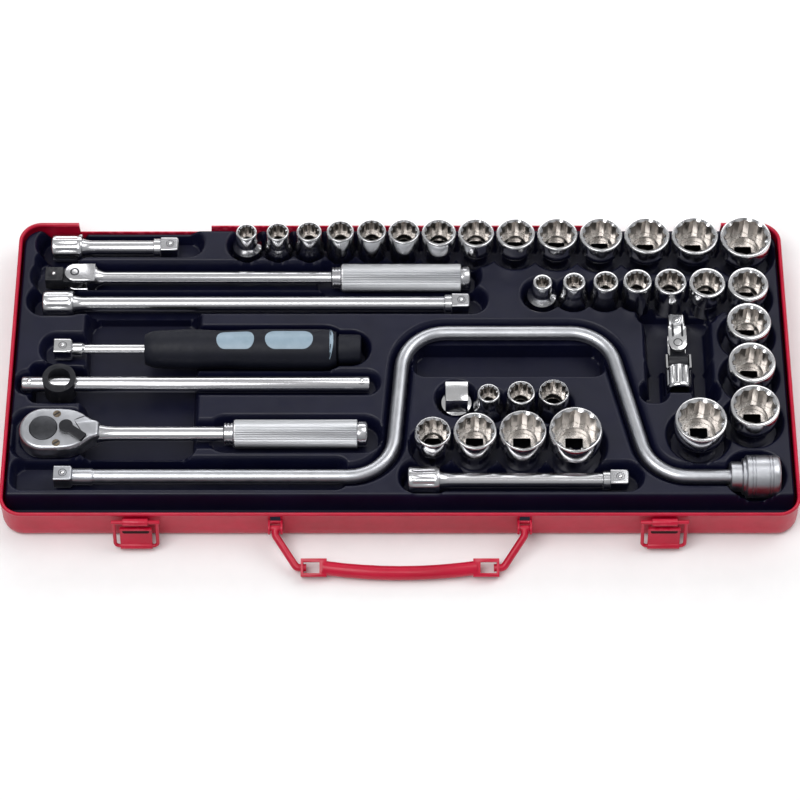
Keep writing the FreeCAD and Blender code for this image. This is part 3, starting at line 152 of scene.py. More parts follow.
RUBBER = shade("soft_grip", (0.003, 0.004, 0.010), (0.005, 0.006, 0.013), (0.46, 0.60), patches=120,
               grain=2600, bump=0.16, specular=0.3)
INLAY = shade("grip_inlay", (0.28, 0.37, 0.45), (0.24, 0.33, 0.40), (0.32, 0.44), patches=160, grain=1800,
              bump=0.08)
LEDGE = shade("turned_steel", (0.92, 0.90, 0.87), (0.84, 0.82, 0.79), (0.22, 0.34), metallic=1.0,
              patches=300, grain=1600, bump=0.04)
# Painted shade: a near-black red for the shaded slots and gaps of the latch levers.
PAINTED_SHADE_RED = shade("shadowed_enamel", (0.030, 0.001, 0.004), (0.018, 0.001, 0.003), (0.5, 0.6), grain=700,
               bump=0.06, specular=0.2)
SCREW = shade("screw_steel", (0.30, 0.24, 0.17), (0.20, 0.16, 0.12), (0.25, 0.4), metallic=1.0,
              patches=400, grain=1800, bump=0.1)


# ---------------------------------------------------------------- shapes, as a radius for every angle

def circle(dia):
    return lambda turn: np.full_like(turn, dia / 2)


def rounded(width, depth, corner):
    """A rectangle with rounded corners; its width runs along the section's up direction."""
    centre = np.array([width / 2 - corner, depth / 2 - corner])

    def radius(turn):
        across, over = np.abs(np.cos(turn)), np.abs(np.sin(turn))
        flat = np.minimum(width / 2 / np.maximum(across, 1e-9), depth / 2 / np.maximum(over, 1e-9))
        toward = across * centre[0] + over * centre[1]
        arc = toward + np.sqrt(np.maximum(toward ** 2 - centre @ centre + corner ** 2, 0))
        return np.where((flat * across > centre[0]) & (flat * over > centre[1]), arc, flat)
    return radius


def square(side, corner=0.9):
    return rounded(side, side, corner)


def star(flats):
    """A twelve-point opening: two hexagons, 30 degrees apart."""
    def hexagon(turn):
        return flats / 2 / np.cos((turn + math.pi / 6) % (math.pi / 3) - math.pi / 6)
    return lambda turn: np.maximum(hexagon(turn), hexagon(turn + math.pi / 6))


def fluted(dia, count, depth):
    """A round section with lands and narrow grooves along it."""
    return lambda turn: dia / 2 - depth * (1 - np.abs(np.cos(count / 2 * turn)))


def inset(shape, by):
    return lambda turn: shape(turn) - by


def stadium(reach, width):
    """A round end about the centre, carried on as a bar of the same width along the up direction."""
    def radius(turn):
        ahead = np.maximum(np.cos(turn), 1e-9)
        side = np.maximum(np.abs(np.sin(turn)), 1e-9)
        bar = np.minimum(reach / ahead, width / 2 / side)
        return np.where(np.cos(turn) > 0, bar, width / 2)
    return radius


def steps(sections, ease=0.5):
    """Rows for round sections one after another, (length, first diameter, last diameter), edges eased."""
    rows = []
    start = 0
    for index, (length, first, last) in enumerate(sections):
        before = sections[index - 1][2] if index else 0
        after = sections[index + 1][1] if index + 1 < len(sections) else 0
        if before < first - 2 * ease:
            rows += [(start, circle(first - 2 * ease)), (start + 0.3 * ease, circle(first - 0.6 * ease)),
                     (start + ease, circle(first))]
        else:
            rows.append((start, circle(first)))
        if after < last - 2 * ease:
            rows += [(start + length - ease, circle(last)),
                     (start + length - 0.3 * ease, circle(last - 0.6 * ease)),
                     (start + length, circle(last - 2 * ease))]
        else:
            rows.append((start + length, circle(last)))
        start += length
    return rows


# ---------------------------------------------------------------- making pieces

class Skin:
    """The surface of one piece, gathered in millimetres."""

    def __init__(self):
        self.points, self.faces, self.finish = [], [], []

    def add(self, face, finish):
        self.faces.append(tuple(int(corner) for corner in face))
        self.finish.append(finish)

    def rows(self, rows, finishes, loop=False, caps=True):
        """Joins closed rows of equally many points; caps fill the first and the last."""
        base, count = len(self.points), len(rows[0])
        for row in rows:
            self.points.extend(map(tuple, row))
        last = len(rows) - 1
        pairs = [(index, index + 1) for index in range(last)] + ([(last, 0)] if loop else [])
        for low, high in pairs:
            for step in range(count):
                after = (step + 1) % count
                self.add((base + low * count + step, base + low * count + after,
                          base + high * count + after, base + high * count + step), finishes[low])
        if caps and not loop:
            self.add(range(base + count - 1, base - 1, -1), finishes[0])
            self.add(range(base + last * count, base + (last + 1) * count), finishes[last])

    def loft(self, origin, along, up, sections, count=96, loop=False):
        """Sections of (distance, shape) or (distance, shape, finish) round an axis."""
        origin, along, up = np.array(origin, float), np.array(along, float), np.array(up, float)
        side = np.cross(along, up)
        turn = np.arange(count) * 2 * math.pi / count
        rows = []
        for distance, shape, *_ in sections:
            radius = shape(turn)
            rows.append(origin + along * distance + np.outer(radius * np.cos(turn), up)
                        + np.outer(radius * np.sin(turn), side))
        finishes = [section[2] if len(section) > 2 else 0 for section in sections]
        self.rows(rows, finishes, loop)

    def rod(self, path, dia, count=32, finish=0):
        """A round rod along a path that stays at one level."""
        path = np.array(path, float)
        along = np.gradient(path, axis=0)
        along /= np.linalg.norm(along, axis=1)[:, None]
        turn = np.arange(count) * 2 * math.pi / count
        rows = []
        for point, ahead in zip(path, along):
            side = np.cross(ahead, Z)
            rows.append(point + dia / 2 * (np.outer(np.cos(turn), Z) + np.outer(np.sin(turn), side)))
        self.rows(rows, [finish] * len(rows))

    def make(self, name, body, slot, finishes, replaces=(), sharp=32):
        mesh = bpy.data.meshes.new(name)
        mesh.from_pydata((np.array(self.points) * MM).tolist(), [], self.faces)
        for finish in finishes:
            mesh.materials.append(finish)
        mesh.polygons.foreach_set("material_index", self.finish)
        work = bmesh.new()
        work.from_mesh(mesh)
        bmesh.ops.recalc_face_normals(work, faces=work.faces)
        work.to_mesh(mesh)
        work.free()
        return place(bpy.data.objects.new(name, mesh), body, slot, replaces, sharp)


def place(piece, body, slot, replaces=(), sharp=32):
    """Puts a piece in the scene on its body, smooth but for its sharp edges."""
    bpy.context.scene.collection.objects.link(piece)
    piece.data.polygons.foreach_set("use_smooth", [True] * len(piece.data.polygons))
    piece.data.set_sharp_from_angle(angle=math.radians(sharp))
    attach(piece, body)
    if replaces:
        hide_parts(*replaces)
    return piece


def body_of(node):
    return next(body for body, members in frame["record"]["behaviour"]["bodies"].items() if node in members)


def softened(node, finish, slot, width=0.35, segments=2):
    """A node's own shape with its edges rounded."""
    mesh = frame["nodes"][node].data.copy()
    work = bmesh.new()
    work.from_mesh(mesh)
    bmesh.ops.remove_doubles(work, verts=work.verts, dist=1e-6)
    bmesh.ops.dissolve_limit(work, angle_limit=math.radians(1), verts=work.verts, edges=work.edges)
    sharp = [edge for edge in work.edges if len(edge.link_faces) == 2
             and edge.calc_face_angle(0) > math.radians(40)]
    bmesh.ops.bevel(work, geom=sharp, offset=width * MM, segments=segments, profile=0.5, affect="EDGES",
                    clamp_overlap=True)
    bmesh.ops.recalc_face_normals(work, faces=work.faces)
    work.to_mesh(mesh)
    work.free()
    mesh.materials.clear()
    mesh.materials.append(finish)
    piece = bpy.data.objects.new(node + "_finished", mesh)
    return place(piece, body_of(node), slot, (node,), sharp=40)


def ball(name, centre, dia, body, finish, slot="chrome", flat=1.0):
    """A sprung detent ball standing out of a square, or a dome where it is flattened."""
    bulge = [math.radians(step * 15) for step in range(7)]
    dome = Skin()
    dome.loft(centre, Z, X, [(flat * dia / 2 * math.sin(rise), circle(max(dia * math.cos(rise), 0.02)))
                             for rise in bulge], count=24)
    return dome.make(name, body, slot, [finish])


# ---------------------------------------------------------------- case

CASE_LENGTH, CASE_DEPTH, CASE_CORNER = 450, 200, 13
HOLE_X, HOLE_WIDTH, HOLE_LOW, HOLE_HIGH = 69.8, 5.8, 15.8, 21.3
STEP_X, NOTCH_X = 190, 112
STEP_TOP, NOTCH_TOP = 21, 15

# Distance in from the outer face, and height: over the floor, up the inner wall, over the rolled rim,
# down the outer wall and under the base.
CASE_PROFILE = [(7, 1.0), (3.2, 1.1), (1.7, 1.9), (1.15, 3.6), (1.1, 14.2), (1.1, HOLE_LOW),
                (1.1, HOLE_HIGH), (1.2, 21.5), (2.05, 21.8), (2.2, 22.6), (1.95, 23.4), (1.4, 23.85),
                (0.85, 24.0),
                (0.4, 23.8), (0.1, 23.3), (0.0, 22.6), (0.12, 21.9), (0.4, 21.6), (0.42, HOLE_HIGH),
                (0.42, HOLE_LOW), (0.41, 14.2), (0.35, 8.0), (0.35, 4.2), (0.75, 2.1), (1.7, 0.8),
                (3.2, 0.15), (5.0, 0.0)]
INNER_HOLE_ROW, OUTER_HOLE_ROW, RIM_ROW = 5, 18, 12


def case_stations():
    """Places round the case as (middle of the corner arc, outward direction)."""
    inner_x, inner_y = CASE_LENGTH / 2 - CASE_CORNER, CASE_DEPTH / 2 - CASE_CORNER
    hole = [side * HOLE_X + edge * HOLE_WIDTH / 2 for side in (-1, 1) for edge in (-1, 1)]
    front = sorted(set(np.linspace(-inner_x, inner_x, 41)) | set(hole))
    breaks = [side * (edge + shift) for side in (-1, 1) for edge in (STEP_X, NOTCH_X)
              for shift in (-0.2, 0.2)]
    back = sorted(set(np.linspace(inner_x, -inner_x, 41)) | set(breaks), reverse=True)
    stations = []

    def arc(middle_x, middle_y, first):
        for step in range(1, 12):
            angle = math.radians(first + step * 7.5)
            stations.append((middle_x, middle_y, math.cos(angle), math.sin(angle)))

    stations += [(along, -inner_y, 0, -1) for along in front]
    arc(inner_x, -inner_y, -90)
    stations += [(inner_x, across, 1, 0) for across in np.linspace(-inner_y, inner_y, 21)]
    arc(inner_x, inner_y, 0)
    stations += [(along, inner_y, 0, 1) for along in back]
    arc(-inner_x, inner_y, 90)
    stations += [(-inner_x, across, -1, 0) for across in np.linspace(inner_y, -inner_y, 21)]
    arc(-inner_x, -inner_y, 180)
    return stations


def make_case():
    stations = case_stations()
    rows = []
    for depth, height in CASE_PROFILE:
        row = []
        for middle_x, middle_y, out_x, out_y in stations:
            limit = CASE_PROFILE[RIM_ROW][1]
            if out_y == 1 and abs(middle_x) < STEP_X:
                limit = NOTCH_TOP if abs(middle_x) > NOTCH_X else STEP_TOP
            inward = depth if height < limit or limit > STEP_TOP else min(max(depth, 0.4), 1.1)
            reach = CASE_CORNER - inward
            row.append((middle_x + reach * out_x, middle_y + reach * out_y, min(height, limit)))
        rows.append(row)
    shell = Skin()
    shell.rows(rows, [0] * len(rows))
    count = len(stations)
    openings = [step for step, (along, _, _, out_y) in enumerate(stations)
                if out_y == -1 and any(abs(along - (side * HOLE_X - HOLE_WIDTH / 2)) < 1e-6
                                       for side in (-1, 1))]
    gone = {row * count + step for step in openings for row in (INNER_HOLE_ROW, OUTER_HOLE_ROW)}
    shell.faces = [face for index, face in enumerate(shell.faces) if index not in gone]
    shell.finish = [0] * len(shell.faces)
    for step in openings:
        inner_low = INNER_HOLE_ROW * count + step
        outer_high = OUTER_HOLE_ROW * count + step
        inner = [inner_low, inner_low + 1, inner_low + count + 1, inner_low + count]
        outer = [outer_high + count, outer_high + count + 1, outer_high + 1, outer_high]
        for edge in range(4):
            after = (edge + 1) % 4
            shell.add((inner[edge], inner[after], outer[after], outer[edge]), 0)
    return shell.make("case_shell", "case", "red paint", [ENAMEL], ["case_base"], sharp=38)


# ---------------------------------------------------------------- tray

TRAY_X, TRAY_Y, TRAY_CORNER, TRAY_TOP, TRAY_FOOT = 222.2, 97.2, 10.2, 20.0, 1.0
# Each tool's middle line: how far back it lies in the case, and its height.
FLEX_LINE, SPINNER_LINE, RATCHET_LINE, BRACE_LINE = (65.5, 16), (14, 18), (-44, 19), (-71, 17)
GRIP_DIA, GRIP_RUN = 16.5, 82
TRAY_FLOOR = 2
FINGER_TROUGHS = [(-181, -118, -58, 41, 6), (9, 117, -3, 19.5, 6), (-211.5, -180, -21, 2, 4)]
JOINT_TROUGHS = [(140, 182, 33, 43, 4.5), (143.5, 178.5, 5, 43, 4), (143.5, 152, -19, 6, 3),
                 (170, 178.5, -19, 6, 3), (140, 152, -21, -10, 4.5), (170, 182, -21, -10, 4.5)]
GRID = 0.8
LIP = 3.6
SEAT = 0.3
CLEAR = 1.0


def bar_route(bend=26, pieces=10):
    """The brace's middle line: straight runs with a round bend at each corner."""
    low, high = span("brace_crank")
    front, back = BRACE_LINE[0], 26.0
    corners = [(low[0] + 21.5, front), (-5.3, front), (2.8, back), (119.5, back), (142.5, front),
               (high[0], front)]
    corners = [np.array(corner) for corner in corners]
    path = [corners[0]]
    for before, corner, after in zip(corners, corners[1:], corners[2:]):
        incoming = (corner - before) / np.linalg.norm(corner - before)
        outgoing = (after - corner) / np.linalg.norm(after - corner)
        angle = math.acos(float(incoming @ outgoing))
        reach = bend * math.tan(angle / 2)
        toward = outgoing - incoming
        centre = corner + toward / np.linalg.norm(toward) * bend / math.cos(angle / 2)
        first, last = corner - incoming * reach, corner + outgoing * reach
        for step in range(pieces + 1):
            share = step / pieces
            spoke = ((first - centre) * math.sin((1 - share) * angle)
                     + (last - centre) * math.sin(share * angle)) / math.sin(angle)
            path.append(centre + spoke)
    path.append(corners[-1])
    return np.array(path)


def box_distance(x, y, low_x, high_x, low_y, high_y, corner):
    """Signed distance to a rounded rectangle, negative inside."""
    away_x = np.abs(x - (low_x + high_x) / 2) - (high_x - low_x) / 2 + corner
    away_y = np.abs(y - (low_y + high_y) / 2) - (high_y - low_y) / 2 + corner
    outside = np.hypot(np.maximum(away_x, 0), np.maximum(away_y, 0))
    return outside + np.minimum(np.maximum(away_x, away_y), 0) - corner


def route_distance(x, y, route):
    nearest = np.full(x.shape, 1e9)
    for first, last in zip(route, route[1:]):
        run = last - first
        share = np.clip(((x - first[0]) * run[0] + (y - first[1]) * run[1]) / (run @ run), 0, 1)
        nearest = np.minimum(nearest, np.hypot(x - first[0] - share * run[0], y - first[1] - share * run[1]))
    return nearest


def tray_hollows(x, y):
    """Every hollow formed in the tray as (signed distance, floor height)."""
    hollows = []

    def box(low_x, high_x, low_y, high_y, floor, corner=2.5):
        hollows.append((box_distance(x, y, low_x, high_x, low_y, high_y, corner), floor))

    def cradle(low_x, high_x, across, dia, axis, before=CLEAR, after=CLEAR, extra=0.0):
        half = dia / 2 + CLEAR + extra
        box(low_x - before, high_x + after, across - half, across + half, axis - dia / 2 - SEAT, half - 0.5)

    for name, after in (("extension_bar_short", 13), ("extension_bar_medium", 6), ("extension_bar_long", 8)):
        low, high = span(name)
        across, axis = (low[1] + high[1]) / 2, (low[2] + high[2]) / 2
        cradle(low[0], low[0] + 23, across, 16, axis, before=7 if low[0] < 0 else 3)
        cradle(low[0], high[0], across, 13.4, axis, after=after)
    across, axis = FLEX_LINE
    cradle(-208.5, -191, across, 16, axis, before=6.5)
    box(-213, -191, 57, 80, 8, 3)
    cradle(-208.5, -40.5, across, 13, axis)
    cradle(-40.5, 41.5, across, GRIP_DIA, axis, before=9, after=4, extra=0.8)
    across, axis = RATCHET_LINE
    box(-220, -180, across - 15, across + 15, 13.7, 9)
    cradle(-216.5, -95, across, 13, axis)
    cradle(-100.5, -18.5, across, GRIP_DIA, axis, before=8, after=7, extra=1.0)
    across, axis = SPINNER_LINE
    cradle(-200, -147.5, across, 13.4, axis, before=6.5, extra=1.0)
    cradle(-147.5, -36, across, 23.4, axis, after=4, extra=0.5)
    cradle(-60, -22.5, across, 17.5, axis - 3, after=3)
    cradle(-217.5, -17.5, -9.4, 9.4, 17, before=2, after=4, extra=0.8)
    box(-218, -31.3, -78.7, -61.5, 9.3, 5)
    hollows.append((route_distance(x, y, bar_route()) - 5.4, 12.5))
    across, axis = BRACE_LINE
    cradle(186.4, 214.4, across, 24.5, axis)
    joint_low, _ = span("universal_fork")
    box(152.2, 169.8, -13.9, 7, joint_low[2] - SEAT)
    for low_x, high_x, low_y, high_y, corner in FINGER_TROUGHS + JOINT_TROUGHS:
        box(low_x, high_x, low_y, high_y, TRAY_FLOOR, corner)
    box(-240, 240, -120, -86.8, 8)
    for name in frame["nodes"]:
        if name.startswith("socket_") or name == "drive_adaptor":
            low, high = span(name)
            middle = (low + high) / 2
            radius = (high[0] - low[0]) / 2 + 1.4 * CLEAR
            hollows.append((np.hypot(x - middle[0], y - middle[1]) - radius, low[2] - SEAT))
    return hollows


def make_tray():
    """One formed sheet: its height over a fine grid, with steep walls and soft lips, and a skirt round it."""
    columns = np.linspace(-TRAY_X, TRAY_X, round(2 * TRAY_X / GRID) + 1)
    lines = np.linspace(-TRAY_Y, TRAY_Y, round(2 * TRAY_Y / GRID) + 1)
    x, y = np.meshgrid(columns, lines)
    corner_x = np.clip(x, -TRAY_X + TRAY_CORNER, TRAY_X - TRAY_CORNER)
    corner_y = np.clip(y, -TRAY_Y + TRAY_CORNER, TRAY_Y - TRAY_CORNER)
    away = np.hypot(x - corner_x, y - corner_y)
    pull = np.where(away > TRAY_CORNER, TRAY_CORNER / np.maximum(away, 1e-9), 1)
    x, y = corner_x + (x - corner_x) * pull, corner_y + (y - corner_y) * pull
    height = np.full(x.shape, TRAY_TOP)
    for distance, floor in tray_hollows(x, y):
        rise = np.clip((distance + 0.4) / LIP, 0, 1)
        soft = np.sqrt(1 - (1 - rise) ** 2) * 0.6 + 0.4 * rise * rise * (3 - 2 * rise)
        height = np.minimum(height, floor + (TRAY_TOP - floor) * soft)
    edge = box_distance(x, y, -TRAY_X, TRAY_X, -TRAY_Y, TRAY_Y, TRAY_CORNER)
    fall = np.clip(1 + edge / 1.6, 0, 1)
    height -= 1.6 * (1 - np.sqrt(1 - fall ** 2))
    sheet = Skin()
    sheet.points = list(zip(x.ravel(), y.ravel(), height.ravel()))
    wide = len(columns)
    gone = (away > TRAY_CORNER + 1e-6).ravel()
    for line in range(len(lines) - 1):
        for column in range(wide - 1):
            index = line * wide + column
            face = (index, index + 1, index + wide + 1, index + wide)
            if not all(gone[corner] for corner in face):
                sheet.add(face, 0)
    tray = sheet.make("formed_tray", "case", "tray plastic", [PLASTIC], ["tool_tray"], sharp=75)
    work = bmesh.new()
    work.from_mesh(tray.data)
    bmesh.ops.remove_doubles(work, verts=work.verts, dist=1e-5)
    rim = [edge for edge in work.edges if edge.is_boundary]
    skirt = bmesh.ops.extrude_edge_only(work, edges=rim)["geom"]
    for item in skirt:
        if isinstance(item, bmesh.types.BMVert):
            item.co.z = TRAY_FOOT * MM
    bmesh.ops.recalc_face_normals(work, faces=work.faces)
    for face in work.faces:
        face.smooth = True
    work.to_mesh(tray.data)
    work.free()
    return tray


# ---------------------------------------------------------------- bars and handles

TANG = 10.5
DRIVE = 9.5


def add_tang(skin, start, along=X, up=Z, finish=0):
    """A square tang: its free end first, then its root at the neck."""
    skin.loft(start, along, up, [
        (0, square(DRIVE - 2.4, 1.2), finish), (0.5, square(DRIVE - 0.9, 1.1), finish),
        (1.4, square(DRIVE), finish), (TANG, square(DRIVE), finish)])


def detent(name, body, along, across, level):
    """The sprung ball in a tang's upper face, in its dimple."""
    ring = Skin()
    ring.loft((along, across, level), Z, X, [(-0.6, circle(5.0)), (0.06, circle(4.8)), (0.1, circle(4.4)),
                                             (-0.25, circle(3.4))], count=32)
    ring.make(name + "_seat", body, "chrome", [DARK_STEEL])
    ball(name, (along, across, level - 0.35), 3.0, body, CHROME, flat=0.8)


def make_extension(name):
    low, high = span(name)
    across, axis = (low[1] + high[1]) / 2, (low[2] + high[2]) / 2
    length = high[0] - low[0]
    bar = Skin()
    lands = fluted(16, 12, 0.55)
    collar = length - TANG - 4.5
    bar.loft((low[0], across, axis), X, Z, [
        (11, square(9.7, 0.5), 1), (0.7, square(9.7, 0.5), 1), (0, square(10.6, 1.0)), (0, circle(14.2)),
        (0.25, circle(15.2)), (0.9, circle(16)), (2.2, circle(16)), (3.2, lands), (14.6, lands),
        (15.4, circle(16)), (17.3, circle(16)), (17.8, circle(15.4)), (18, circle(14.6)), (18, circle(11.2)),
        (20, circle(9.8)), (23, circle(8.8)), (collar, circle(8.8)), (collar, circle(10)),
        (collar + 0.4, circle(11)), (collar + 4.1, circle(11)), (collar + 4.5, circle(10))])
    add_tang(bar, (high[0], across, axis), along=(-1, 0, 0))
    bar.make(name + "_finished", name, "chrome", [DRAWN, DARK_STEEL], [name])
    detent(name + "_detent", name, high[0] - 5, across, axis + DRIVE / 2)


GRIP_FLUTES = 48


def add_grip(skin, start):
    """The straight-knurled grip with its collar before it and its plain end after it."""
    lands = fluted(GRIP_DIA, GRIP_FLUTES, 0.42)
    rows = [(0, circle(10.6)), (0.4, circle(12)), (0.9, circle(13)), (1.6, circle(13)), (1.9, circle(11.9)),
            (2.3, circle(11.9)), (2.6, circle(13)), (3.4, circle(13)), (3.7, circle(11.9)),
            (4.1, circle(11.9)), (4.4, circle(13)), (5.3, circle(13)), (5.5, circle(14.6)),
            (5.8, circle(15.5)), (6.3, circle(16.2)), (6.9, lands, 1), (76.0, lands, 1),
            (76.4, circle(15.4), 1),
            (76.5, circle(13.4)), (77.1, circle(13.4)), (77.2, circle(14.5)), (80.7, circle(14.5)),
            (81.5, circle(13.6)), (82, circle(11.8))]
    skin.loft(start, X, Z, rows, count=192)


def make_flex_handle():
    low, high = span("flex_handle_bar")
    across, axis = FLEX_LINE
    pin = low[0] + 6
    fork = Skin()
    cheek = stadium(12, 12)
    for bottom, top in ((9.5, 12.8), (19.2, 22.5)):
        fork.loft((pin, across, 0), Z, X, [(bottom, inset(cheek, 0.8)), (bottom + 0.25, inset(cheek, 0.25)),
                                           (bottom + 0.8, cheek), (top - 0.8, cheek),
                                           (top - 0.25, inset(cheek, 0.25)), (top, inset(cheek, 0.8))])
    fork.loft((pin, across, axis), X, Z, [(7, rounded(12.8, 11.8, 1)), (11.2, rounded(12.8, 11.8, 1)),
                                          (12, rounded(12, 11, 2.4)), (13.5, circle(10.5)), (17, circle(7.5)),
                                          (high[0] - GRIP_RUN - pin, circle(7.5))])
    add_grip(fork, (high[0] - GRIP_RUN, across, axis))
    fork.make("flex_handle_finished", "flex_handle", "chrome", [DRAWN, KNURL], ["flex_handle_bar"])
    rivet = Skin()
    rivet.loft((pin, across, 22.4), Z, X, [(-12.9, circle(4.6)), (0, circle(5.5)), (0.2, circle(5.3)),
                                           (0.25, circle(4.6)), (0.05, circle(3.0))], count=32)
    rivet.make("flex_pin_end", "flex_handle", "chrome", [DARK_STEEL])
    slot = Skin()
    slot.loft((pin + 7.4, across, 21.6), Z, X, [(0, rounded(4.6, 2.4, 1.1)), (0.42, rounded(4.6, 2.4, 1.1))],
              count=40)
    slot.make("flex_fork_slot", "flex_handle", "chrome", [OXIDE])
    softened("flex_handle_head", OXIDE, "black oxide", 0.5)
    ball("flex_head_ball", (low[0] - 6.5, across, axis + DRIVE / 2 - 0.5), 2.8, "flex_head", CHROME)
    dot = Skin()
    dot.loft((high[0] - 92, across, axis + 3.7), Z, X, [(-0.5, circle(2)), (0.05, circle(2)),
                                                       (-0.2, circle(1.2))], count=24)
    dot.make("flex_gauge_dot", "flex_handle", "chrome", [DARK_STEEL])


# Distance from the nose and diameter of the soft grip, with its two swells.
GRIP_LINE = [(0, 17.4), (1, 18.6), (3, 20.2), (5, 21.4), (12, 22.2), (21, 23.1), (29, 23.4), (38, 22.4),
             (45, 21.7), (53, 22.2), (62, 23.1), (70, 23.4), (103, 23.4), (107, 22.6), (110, 20.8),
             (111, 19.4)]


def grip_dia(distance):
    places, dias = zip(*GRIP_LINE)
    return float(np.interp(distance, places, dias))


def patch(name, start, outline, lift, finish, axis, across):
    """A thin inlay bent over the grip: its outline gives (distance along, degrees round) points."""
    skin = Skin()
    outline = np.array(outline, float)
    middle = outline.mean(axis=0)
    rows = []
    for scale, rise in ((1.0, -0.25), (0.985, lift * 0.8), (0.95, lift), (0.6, lift), (0.2, lift),
                        (0.01, lift)):
        ring = middle + (outline - middle) * scale
        row = []
        for along, degrees in ring:
            radius = grip_dia(along) / 2 + rise
            turn = math.radians(degrees)
            row.append((start + along, across - radius * math.sin(turn), axis + radius * math.cos(turn)))
        rows.append(row)
    skin.rows(rows, [0] * len(rows))
    return skin.make(name, "spinner", "soft grip", [finish])


def stadium_outline(low, high, half_turn, points=16):
    """A flat-sided oval from low to high along the grip and half_turn degrees to each side."""
    bulge = (high - low) * 0.22
    ends = []
    for end, sign in ((high - bulge, 1), (low + bulge, -1)):
        for step in range(points + 1):
            angle = sign * (math.pi / 2 - math.pi * step / points)
            ends.append((end + sign * bulge * math.cos(angle), half_turn * math.sin(angle)))
    return ends


def make_spinner():
    low, _ = span("spinner_grip")
    across, axis = SPINNER_LINE
    grip = Skin()
    profile = [(distance, circle(grip_dia(distance))) for distance in np.linspace(0, 110.5, 64)]
    grip.loft((low[0], across, axis), X, Z, [(0, circle(6.3)), (0, circle(15)), *profile, (111, circle(17))])
    grip.make("soft_grip_body", "spinner", "soft grip", [RUBBER], ["spinner_grip"])
    knob = Skin()
    knob.loft((low[0] + 111, across, axis), X, Z, steps([(1.2, 15.5, 15.5), (12.8, 17.5, 17.2)], 1.4))
    knob.make("spinner_end_knob", "spinner", "soft grip", [RUBBER])
    patch("inlay_short", low[0], stadium_outline(41.5, 63.5, 32), 0.12, INLAY, axis, across)
    patch("inlay_long", low[0], stadium_outline(69.5, 97.5, 32), 0.12, INLAY, axis, across)
    outer = [(105.5 + 3.6 * math.cos(math.radians(turn)), turn) for turn in range(-64, 65, 4)]
    inner = [(105.5 + 3.0 * math.cos(math.radians(turn)) - 1.6 * math.cos(math.radians(turn * 1.4)), turn)
             for turn in range(64, -65, -4)]
    patch("inlay_crescent", low[0], outer + inner, 0.12, INLAY, axis, across)
    shaft_low, _ = span("spinner_shank")
    shaft = Skin()
    shaft.loft((shaft_low[0] + TANG, across, axis), X, Z, [(0, circle(7)), (0.5, circle(8)), (5.5, circle(8)),
                                                          (7, circle(6)), (42.5, circle(6))])
    add_tang(shaft, (shaft_low[0] + TANG, across, axis), along=(-1, 0, 0))
    shaft.make("spinner_shaft", "spinner", "chrome", [CHROME], ["spinner_shank"])
    detent("spinner_detent", "spinner", shaft_low[0] + 5, across, axis + DRIVE / 2)


def make_sliding_tee():
    low, high = span("sliding_bar")
    middle = (low + high) / 2
    bar = Skin()
    bar.loft((low[0], middle[1], middle[2]), X, Z, steps([(high[0] - low[0], 9.4, 9.4)], 0.9))
    bar.make("sliding_bar_finished", "sliding_tee", "chrome", [DRAWN], ["sliding_bar"])
    for word, along in (("left", low[0] + 4.5), ("right", high[0] - 4.5)):
        detent(f"sliding_bar_stop_{word}", "sliding_tee", along, middle[1], middle[2] + 4.35)
    softened("sliding_head", OXIDE, "black oxide", 0.7, 3)


# The ratchet head's upper flank from its middle: distance along, half width.
HEAD_FLANK = [(0, 14.0), (9, 13.85), (15, 13.2), (19, 12.0), (22.5, 10.0), (25.5, 7.6),
              (28.5, 5.6), (32, 4.8)]


def ratchet_outline(turn):
    """Round the head's middle: a round head whose full cheeks fall to the neck, which lies along +X."""
    angle = np.abs((turn + math.pi) % (2 * math.pi) - math.pi)
    flank = np.array(HEAD_FLANK)
    fine = np.linspace(0, len(flank) - 1, 60)
    along, half = (np.interp(fine, range(len(flank)), flank[:, axis]) for axis in (0, 1))
    angles = np.arctan2(half, along)
    radius = np.interp(angle, angles[::-1], np.hypot(along, half)[::-1])
    tip = HEAD_FLANK[-1]
    face = tip[0] / np.maximum(np.cos(turn), 1e-9)
    return np.where(angle > math.pi / 2, 14.0, np.where(angle < math.atan2(tip[1], tip[0]), face, radius))


def add_seam(name, head, across, start, end):
    """A fine parting line on top of the ratchet's head."""
    start, end = np.array(start), np.array(end)
    run = end - start
    length = float(np.hypot(*run))
    ahead = (run[0] / length, run[1] / length, 0)
    seam = Skin()
    middle = (start + end) / 2
    seam.loft((head + middle[0], across + middle[1], 25.6), Z, ahead,
              [(0, rounded(length, 0.55, 0.2)), (0.43, rounded(length, 0.55, 0.2))], count=48)
    seam.make(name, "ratchet", "chrome", [DARK_STEEL])


